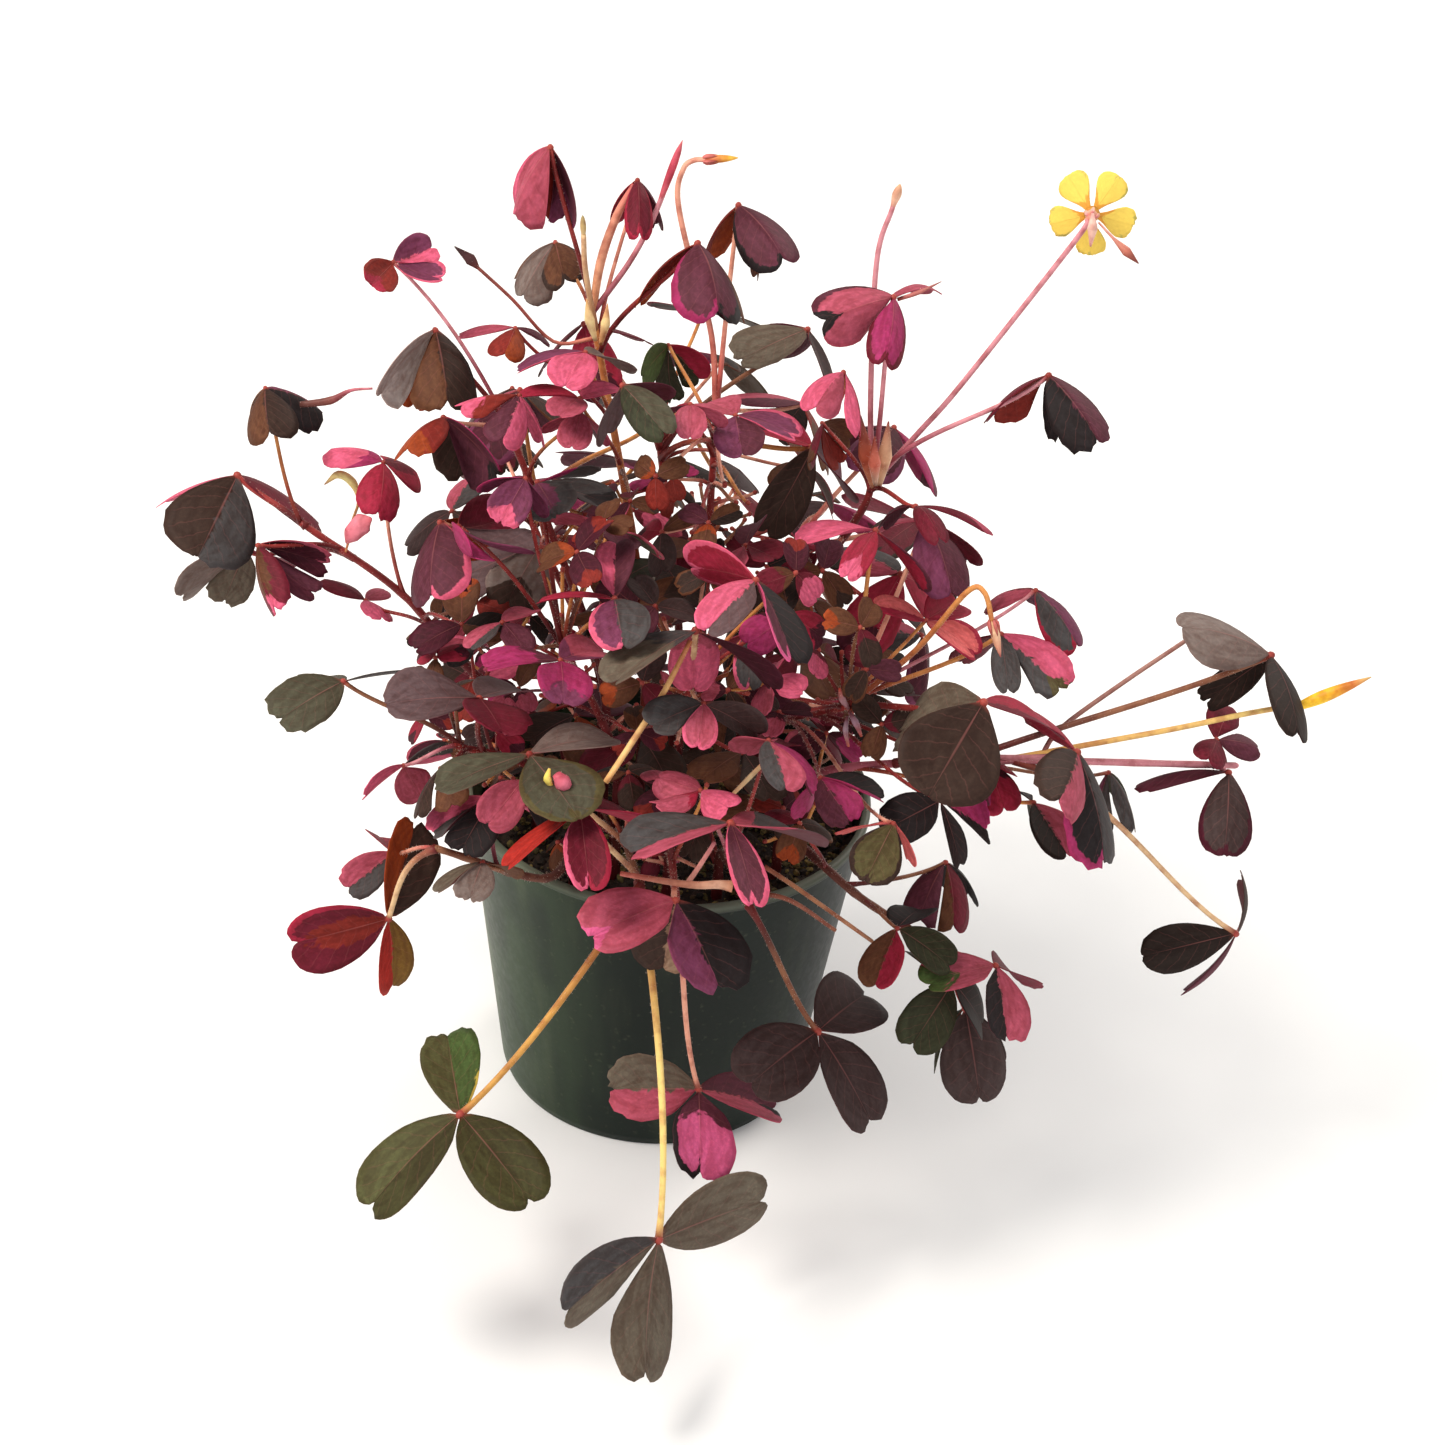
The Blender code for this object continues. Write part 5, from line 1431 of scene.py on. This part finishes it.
class Growth:
    """Finds where each solid has its leaves and stalks, and builds fine ones there."""

    def __init__(self, finishes):
        self.finishes = finishes
        self.draw = random.Random(LOOKS_SEED)
        self.solids = {}
        self.inner = []
        self.coarse = {}
        self.fine = {}
        for name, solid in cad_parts.items():
            faces = [tuple(face.vertices) for face in solid.data.polygons]
            self.solids[name] = BVHTree.FromPolygons([vertex.co for vertex in solid.data.vertices], faces)
        self.leaves = {name: Shell(name + "_leaves") for name in STEMS}
        self.stalks = {name: Shell(name + "_stalks") for name in STEMS}

    def holds(self, stem, points, reach):
        """Whether the stem's solid has skin close to every point."""
        return all(self.solids[stem].find_nearest(point, reach)[0] for point in points)

    def add_stem(self, name, stem):
        x, y = stem.root[0] * MM, stem.root[1] * MM
        foot = Vector((x, y, SOIL_TOP - HOLE_DEPTH + GAP))
        top = Vector((x, y, SOIL_TOP + STEM_UPRIGHT))
        marks = [seen_at(*mark) for mark in stem.path]
        rise = top + UP * STEM_RISE * (marks[0] - top).length + (marks[0] - top) * STEM_LEAN
        self.coarse[name] = [foot, *through([top, rise, *marks], COARSE_STEPS)]
        path = self.fine[name] = [foot, *through([top, rise, *marks], FINE_STEPS)]
        radii = []
        for k, t in enumerate(even(len(path))):
            knot = 1 + STEM_KNOT * max(0.0, math.sin(k * 1.9)) ** 4
            radii.append((STEM_RADIUS + (STEM_TIP_RADIUS - STEM_RADIUS) * t) * knot)
        colours = tinted([STEM_FOOT, *STALK_TINTS[stem.tone]], [t**1.2 for t in even(len(path))])
        shell = self.stalks[name]
        shell.add_tube(path, radii, STEM_SIDES, colours)
        along = (path[-1] - path[-2]).normalized()
        end = [path[-1] + along * radii[-1] * k for k, _ in STEM_END]
        shell.add_tube(end, [radii[-1] * r for _, r in STEM_END], STEM_SIDES, colours[-1])
        shell.add_hairs(path[2:], radii[2:], STEM_HAIRS, self.draw)

    def start_of(self, stem, at, finely):
        """Where a stalk leaves its stem, and the way the stem grows there."""
        path = self.coarse[stem]
        place = 1 + at * (len(path) - 2)
        if finely:
            place = 1 + (place - 1) * FINE_STEPS / COARSE_STEPS
            path = self.fine[stem]
        k = min(int(place), len(path) - 2)
        return path[k].lerp(path[k + 1], place - k), (path[k + 1] - path[k]).normalized()

    def add_leaf(self, stem, leaf, before):
        """Builds a leaf of the tables at the depth, and on the stalk, that its solid has."""
        path = self.coarse[stem]
        length = sum((b - a).length for a, b in zip(path[1:], path[2:]))
        at = leaf.at - before * STALK_PITCH / length
        for shift in LEAF_SHIFTS:
            hub = seen_at(*leaf.hub, leaf.y + shift)
            midribs = [towards_tip(hub, tip, lean, leaf.size) for tip, lean in zip(leaf.tips, leaf.lean)]
            if self.holds(stem, marks_of(hub, midribs), SKIN):
                return self.build_leaf(stem, at, hub, midribs, leaf.fold, leaf.looks, leaf.tone)
        raise ValueError(f"{stem} has no leaf at {leaf.hub}")

    def build_leaf(self, stem, at, hub, midribs, fold, looks, tone):
        start, growing = self.start_of(stem, at, False)
        axis = rosette_axis(midribs)
        for bow in STALK_BOWS:
            bow = Vector(bow)
            if self.holds(stem, stalk_path(start, growing, hub, axis, bow, 3)[1:3], LEAF_STALK_SKIN):
                break
        else:
            raise ValueError(f"{stem} has no stalk to {hub}")
        path = stalk_path(*self.start_of(stem, at, True), hub, axis, bow, STALK_STEPS)
        self.build_stalk(stem, path, midribs[0].length, tone)
        if max(abs(midrib.normalized().dot(VIEW)) for midrib in midribs) < FLAT_TO_VIEW:
            axis = axis - VIEW * (axis.dot(VIEW) + abs(axis.dot(VIEW)))
        add_rosette(self.leaves[stem], hub, midribs, axis, fold, looks, self.draw)

    def build_stalk(self, stem, path, size, tone=None):
        """A leaf's stalk with its sheath, hub and hairs, as thick as the size of its leaf asks for."""
        tone = tone or self.draw.choice(STALK_TONES)
        thinnest, thickest = STALK_RANGE
        thick = STALK_RADIUS * min(thickest, max(thinnest, size / PLAIN_LEAFLET))
        radii = []
        (low, foot_parts), (high, top_parts) = FOOT_SWELLING, TOP_SWELLING
        for t in even(len(path)):
            swelling = low * max(0.0, 1 - t * foot_parts) + high * max(0.0, t * top_parts - (top_parts - 1))
            radii.append(thick * (1 - LEAF_STALK_TAPER * t + swelling))
        foot, high = STALK_TINTS[tone]
        colours = tinted([STALK_FOOT, foot, high, high, high], even(len(path)))
        colours[-1] = rgb(*HUB_TONE)
        shell = self.stalks[stem]
        shell.add_tube(path, radii, STALK_SIDES, colours)
        along = (path[-1] - path[-2]).normalized()
        shell.add_ball(path[-1], along, thick * HUB_RADIUS, thick * HUB_LENGTH, colours[-1])
        shell.add_hairs(path[1:], radii[1:], LEAF_STALK_HAIRS, self.draw)

    def add_fill(self, stem, rule):
        """The next leaf of the seeded rule that the solid has."""
        tip = self.coarse[stem][-1]
        for _ in range(FILL_TRIES):
            away = Vector((rule.uniform(-1, 1), rule.uniform(-1, 1), rule.uniform(*FILL_RISE)))
            outward = Vector(FILL_FROM) + Vector((tip.x, tip.y, 0))
            away = (away.normalized() + outward.normalized() * FILL_OUTWARD).normalized()
            hub = tip + away * rule.uniform(*FILL_REACH)
            axis = (UP + away * FILL_TILT).normalized()
            size = rule.uniform(*FILL_SIZE)
            droop = rule.uniform(0.0, FILL_DROOP)
            midribs = three_midribs(axis, rule.uniform(0, math.tau), droop, size)
            fold = math.radians(rule.uniform(*FILL_FOLD))
            at = rule.uniform(*FILL_ROOT)
            if self.holds(stem, marks_of(hub, midribs), SKIN):
                looks = [read_look(self.draw.choice(FILL_LOOKS)) for _ in midribs]
                return self.build_leaf(stem, at, hub, midribs, fold, looks, None)
        raise ValueError(f"{stem} has no further leaf of the rule")

    def add_stalk(self, stem, at, marks, tone, *end):
        """A leafless stalk that carries a bud or the flower."""
        start, _ = self.start_of(stem, at, False)
        for shift in STALK_SHIFTS:
            points = [start, *(seen_at(u, v, y + shift) for u, v, y in marks), *end]
            if self.holds(stem, through(points, 2)[1:-1], BUD_STALK_SKIN):
                break
        else:
            raise ValueError(f"{stem} has no stalk through {marks}")
        path = through(points, BUD_STALK_STEPS)
        shares = even(len(path))
        radii = [STALK_RADIUS * (1.0 - BUD_STALK_TAPER * t) for t in shares]
        foot, high = STALK_TINTS[tone]
        shell = self.stalks[stem]
        shell.add_tube(path, radii, STALK_SIDES, tinted([foot, high, high], shares))
        shell.add_hairs(path[1:], radii[1:], BUD_STALK_HAIRS, self.draw)
        return path

    def stem_below(self, hub):
        """The stem, and the place on it, from which a stalk would reach a hub most shortly."""
        found = []
        for name, path in self.fine.items():
            for k in range(len(path) // 4, len(path) - 1):
                if hub.z - path[k].z > INNER_ABOVE_STEM:
                    found.append(((hub - path[k]).length, name, k))
        return min(found, default=None)

    def is_seen(self, marks):
        """Whether the viewer sees enough of a leaf's marks, and they hide little of what the solids have."""
        solids = [self.solids[name] for name in STEMS] + self.inner
        shows = hides = 0
        for mark in marks:
            away = (mark - EYE).normalized()
            reach = (mark - EYE).length
            shows += not any(tree.ray_cast(EYE, away, reach)[0] for tree in solids)
            hides += any(tree.ray_cast(mark, away, HIDING_REACH)[0] for tree in solids)
        return shows >= INNER_SHOWS and hides <= INNER_HIDES

    def is_free(self, hub, midribs, axis, path, stem):
        """Whether no solid and no earlier inner leaf is in the way of a leaf and its stalk."""
        points, faces = [], []
        for midrib in midribs:
            side = axis.cross(midrib)
            for height in (-ROUGH_HALF, ROUGH_HALF):
                faces.append(tuple(range(len(points), len(points) + len(ROUGH_BLADE))))
                points += [hub + midrib * x + side * y + axis * height for x, y in ROUGH_BLADE]
        tree = BVHTree.FromPolygons(points, faces)
        if any(tree.overlap(other) for other in [*self.solids.values(), *self.inner]):
            return False
        for name, other in [*self.solids.items(), *((None, tree) for tree in self.inner)]:
            steps = path[3:] if name == stem else path[1:]
            for a, b in zip(steps, steps[1:]):
                if other.ray_cast(a, b - a, (b - a).length + MM)[0]:
                    return False
        self.inner.append(tree)
        return True

    def add_inner(self, rule, bare):
        """A small leaf or a bare stalk inside the crown, which the solids leave out, if there is room."""
        for _ in range(INNER_TRIES):
            turn, reach = rule.uniform(0, math.tau), math.sqrt(rule.random())
            u = INNER_MIDDLE[0] + INNER_REACH[0] * reach * math.cos(turn)
            v = INNER_MIDDLE[1] + INNER_REACH[1] * reach * math.sin(turn)
            hub = seen_at(u, v, rule.uniform(*INNER_DEPTH))
            size = (BARE_SIZE if bare else rule.uniform(*INNER_SIZE)) * MM
            gap = math.hypot(*((a - b) / c for a, b, c in zip((u, v), CLEAR_MIDDLE, CLEAR_REACH)))
            sway = Vector((*(rule.uniform(*span) for span in INNER_SWAY), 0))
            outward = Vector((hub.x, hub.y, 0)).normalized()
            axis = (UP + outward * INNER_OUTWARD + sway).normalized()
            midribs = three_midribs(axis, rule.uniform(0, math.tau), rule.uniform(*INNER_DROOP), size)
            below = self.stem_below(hub)
            if hub.z < SOIL_TOP + INNER_ABOVE_SOIL or not below or (gap < 1 and not bare):
                continue
            _, stem, k = below
            start, following = self.fine[stem][k:k + 2]
            growing = (following - start).normalized()
            path = stalk_path(start, growing, hub, axis, Vector((0, 0, 0)), INNER_STEPS)
            if self.is_seen(marks_of(hub, midribs)) and self.is_free(hub, midribs, axis, path, stem):
                self.build_stalk(stem, path, size)
                if not bare:
                    looks = [read_look(self.draw.choice(INNER_LOOKS)) for _ in midribs]
                    fold = math.radians(rule.uniform(*INNER_FOLD))
                    add_rosette(self.leaves[stem], hub, midribs, axis, fold, looks, self.draw)
                return

    def pieces(self):
        """One piece of leaves and one of stem and stalks for each solid, which they stand for."""
        for name in STEMS:
            leaves = self.leaves[name].piece(self.finishes["leaf"])
            stalks = self.stalks[name].piece(self.finishes["stalk"], self.finishes["hair"])
            for piece in (leaves, stalks):
                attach(piece, "root")
                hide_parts(name)


def build_flower(growth, finishes):
    """Calyx on the stem's piece, and the petals with their stamens as the corolla's piece."""
    centre = seen_at(*FLOWER_CENTRE)
    facing = Vector(FLOWER_FACING).normalized()
    growth.add_stalk(FLOWER_STEM, PEDICEL_AT, PEDICEL_PATH, "pink", centre - facing * CALYX_LENGTH * 0.8)
    shell = growth.stalks[FLOWER_STEM]
    side = facing.orthogonal().normalized()
    shares = even(CALYX_RINGS)
    path = [centre - facing * CALYX_LENGTH * (1 - t) for t in shares]
    radii = [STALK_RADIUS + (CALYX_RADIUS - STALK_RADIUS) * math.sin(math.pi / 2 * t) for t in shares]
    shell.add_tube(path, radii, CALYX_SIDES, tinted(CALYX_TONES, shares))
    for k in range(PETALS):
        out = spun(side, facing, math.tau * (k + 0.5) / PETALS)
        line = []
        for t in even(len(LOBE_WIDTHS)):
            place = centre - facing * CALYX_LENGTH * (0.85 - 1.35 * t)
            line.append(place + out * CALYX_RADIUS * (0.7 + 0.5 * t))
        shell.add_tube(line, [MM * width for width in LOBE_WIDTHS], 6, tinted(LOBE_TONES, even(len(line))))
    base = centre + facing * (CALYX_LIP + GAP)
    first = (RIGHT + UP - facing * (RIGHT + UP).dot(facing)).normalized()
    petals = []
    for k in range(PETALS):
        spread = spun(first, facing, PETAL_TURN + math.tau * k / PETALS)
        petals.append((spread * math.cos(PETAL_RISE) + facing * math.sin(PETAL_RISE)) * PETAL_LENGTH)
    throat = base + facing * COROLLA_TUBE * 0.75
    corolla = Shell("flower_petals")
    amber = rgb(*PETAL_AMBER)
    # Painted shade: the petals turn amber towards their bases and the flower's centre
    look = Look(1.0, 0, False, rgb(*PETAL_YELLOW), [(amber, ["base"]), (rgb(*PETAL_OLIVE), ["rim", "bits"])])
    add_rosette(corolla, throat, petals, facing, PETAL_FOLD, [look] * PETALS, growth.draw, PETAL, True)
    corolla.add_tube([base, base + facing * COROLLA_TUBE], COROLLA_RADII, 14, amber, 1)
    for k in range(STAMENS):
        out = spun(side, facing, math.tau * k / STAMENS)
        foot = throat + out * 0.5 * MM
        head = throat + facing * STAMEN_HEIGHTS[k % 2] + out * 1.1 * MM
        corolla.add_tube([foot, head], STAMEN_RADII, 5, rgb(*STAMEN_TONE), 1)
        corolla.add_ball(head, out, 0.3 * MM, 0.42 * MM, rgb(*ANTHER_TONE), 6, 4, 1)
    piece = corolla.piece(finishes["petal"], finishes["stalk"])
    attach(piece, "root")
    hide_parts("flower_corolla")


def wall_radius(height):
    return POT_BASE_RADIUS + (POT_WALL_TOP - POT_BASE_RADIUS) * height / POT_HEIGHT


def softened(profile):
    """A profile with each inner corner rounded."""
    profile = [Vector(corner) for corner in profile]
    made = [profile[0]]
    for before, corner, after in zip(profile, profile[1:], profile[2:]):
        reach = min(ROUNDING, (before - corner).length * 0.45, (after - corner).length * 0.45)
        start = corner + (before - corner).normalized() * reach
        end = corner + (after - corner).normalized() * reach
        for k in range(ROUNDING_STEPS + 1):
            t = k / ROUNDING_STEPS
            made.append(start * (1 - t) ** 2 + corner * 2 * t * (1 - t) + end * t * t)
    return [*made, profile[-1]]


def build_pot(finish):
    """A turned pot with a small rolled rim, and drain holes cut through its floor."""
    rim = POT_HEIGHT - RIM_HEIGHT
    profile = softened((
        (0, 0),
        (POT_BASE_RADIUS - 0.5 * MM, 0),
        (wall_radius(2.5 * MM), 2.5 * MM),
        (wall_radius(rim), rim),
        (POT_RIM_RADIUS, rim + 0.6 * MM),
        (POT_RIM_RADIUS, POT_HEIGHT - 0.5 * MM),
        (POT_RIM_RADIUS - 0.8 * MM, POT_HEIGHT),
        (POT_WALL_TOP - POT_WALL, POT_HEIGHT),
        (wall_radius(POT_FLOOR) - POT_WALL, POT_FLOOR),
        (0, POT_FLOOR),
    ))
    shell = Shell("nursery_pot")
    shell.add(*turned_shape(0, profile[1:-1], POT_FLOOR, POT_SIDES))
    pot = shell.piece(finish)
    drains = Shell("drains")
    for k in range(DRAIN_HOLES):
        x, y = on_circle(DRAIN_RING, math.tau * (k + 0.5) / DRAIN_HOLES)
        path = [Vector((x, y, -POT_FLOOR)), Vector((x, y, 2 * POT_FLOOR))]
        drains.add(*tube(path, [DRAIN_RADIUS, DRAIN_RADIUS], DRAIN_SIDES))
    cutter = drains.piece(finish)
    modifier = pot.modifiers.new("drains", "BOOLEAN")
    modifier.operation = "DIFFERENCE"
    modifier.object = cutter
    graph = bpy.context.evaluated_depsgraph_get()
    made = bpy.data.meshes.new_from_object(pot.evaluated_get(graph))
    pot.modifiers.clear()
    pot.data = made
    bpy.data.objects.remove(cutter)
    pot.data.set_sharp_from_angle(angle=POT_SHARP)
    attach(pot, "root")
    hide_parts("pot")


def soil_height(x, y):
    """The lumpy top of the soil, as in the solid, with finer crumbs."""
    u, v = x / MM, y / MM
    lumps = math.sin(u * 0.31 + 1.3 * math.sin(v * 0.23)) * math.cos(v * 0.37 + 0.8 * math.sin(u * 0.19))
    crumbs = 0.7 * MM * noise.noise(Vector((u * 0.45, v * 0.45, 0)))
    crumbs += 0.5 * MM * noise.noise(Vector((u * 1.1, v * 1.1, 3)))
    return SOIL_TOP + SOIL_LUMP * lumps + 0.5 * SOIL_LUMP * math.sin(u * 0.83 + v * 0.71) + crumbs


def build_soil(finish):
    """A crumbly surface with loose grains of bark and grit on it."""
    draw = random.Random(GRAIN_SEED)
    bottom = POT_FLOOR + GAP
    inner = POT_WALL + 2 * GAP
    top_radius = wall_radius(SOIL_TOP) - inner
    rings = [(top_radius * ring / SOIL_RINGS, soil_height) for ring in range(SOIL_RINGS, 0, -1)]
    rings = [(wall_radius(bottom) - inner, bottom), *rings]
    shell = Shell("potting_soil")
    shell.add(*turned_shape(bottom, rings, soil_height(0, 0), SOIL_SIDES), ground=rgb(*SOIL_TONE))
    for _ in range(GRAINS):
        reach = top_radius * math.sqrt(draw.random()) * GRAIN_SPREAD
        x, y = on_circle(reach, draw.uniform(0, math.tau))
        size = draw.uniform(*GRAIN_RANGE) ** GRAIN_POWER * GRAIN_LENGTH * MM
        axis = Vector((draw.uniform(-1, 1), draw.uniform(-1, 1), draw.uniform(-0.4, 0.4))).normalized()
        centre = Vector((x, y, soil_height(x, y) + size * GRAIN_SUNK))
        path = [centre + axis * size * along for along, _ in GRAIN_RINGS]
        radii = [size * draw.uniform(*span) for _, span in GRAIN_RINGS]
        shell.add_tube(path, radii, 5, rgb(*draw.choice(GRAIN_TONES)))
    piece = shell.piece(finish)
    piece.data.set_sharp_from_angle(angle=SOIL_SHARP)
    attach(piece, "root")
    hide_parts("soil")


def build_stage(finish):
    """A plain pale floor, soft studio light and the photograph's camera."""
    scene = bpy.context.scene
    mesh = bpy.data.meshes.new("floor")
    corners = [(x * FLOOR_REACH, y * FLOOR_REACH, 0) for x, y in ((-1, -1), (1, -1), (1, 1), (-1, 1))]
    mesh.from_pydata(corners, [], [(0, 1, 2, 3)])
    mesh.materials.append(finish)
    floor = placed("floor", mesh)
    for name, place, width, watts, colour in LIGHTS:
        light = bpy.data.lights.new(name, "AREA")
        light.shape = "DISK"
        light.size = width
        light.energy = watts
        light.color = colour
        lamp = placed(name, light)
        lamp.location = place
        lamp.rotation_euler = (Vector(LIT_PLACE) - Vector(place)).to_track_quat("-Z", "Y").to_euler()
    world = bpy.data.worlds.new("studio")
    world.use_nodes = True
    sky = world.node_tree.nodes["Background"].inputs
    sky["Color"].default_value = (1.0, 1.0, 1.0, 1)
    sky["Strength"].default_value = SKY_LIGHT
    scene.world = world
    scene.view_settings.view_transform = "Standard"
    lens = bpy.data.cameras.new("camera")
    lens.sensor_width = SENSOR_WIDTH
    lens.lens = PHOTO_FOCAL / PHOTO_SIZE * lens.sensor_width
    camera = placed("camera", lens)
    aim = Matrix((CAMERA_X, CAMERA_Y, -VIEW)).transposed().to_4x4()
    aim.translation = EYE
    camera.matrix_world = aim
    scene.camera = camera


def main():
    finishes = {
        "leaf": blade_finish("variegated_leaf", (190, 112, 108), 0.28, (150, 70, 60), 1.0),
        "petal": blade_finish("yellow_petal", (222, 170, 60), 0.2, (230, 150, 50), 0.2),
        "stalk": stalk_finish(),
        "hair": hair_finish(),
    }
    build_stage(floor_finish())
    build_pot(pot_finish())
    build_soil(soil_finish())
    growth = Growth(finishes)
    for name, stem in STEMS.items():
        growth.add_stem(name, stem)
    build_flower(growth, finishes)
    for stalk in BUD_STALKS:
        path = growth.add_stalk(stalk.stem, stalk.at, stalk.path, stalk.tone)
        add_bud(growth.stalks[stalk.stem], path, stalk.bud, stalk.kind)
    for name, table in SPRIGS:
        for sprig in read_sprigs(table):
            add_sprig(growth.stalks[name], sprig, growth.draw)
    for name, table in LEAVES.items():
        for before, leaf in enumerate(read_leaves(table)):
            growth.add_leaf(name, leaf, before)
    rule = random.Random(FILL_SEED)
    for name, count in FILL_COUNTS.items():
        for _ in range(count):
            growth.add_fill(name, rule)
    rule = random.Random(INNER_SEED)
    for k in range(INNER_LEAVES + BARE_STALKS):
        growth.add_inner(rule, k >= INNER_LEAVES)
    growth.pieces()


main()
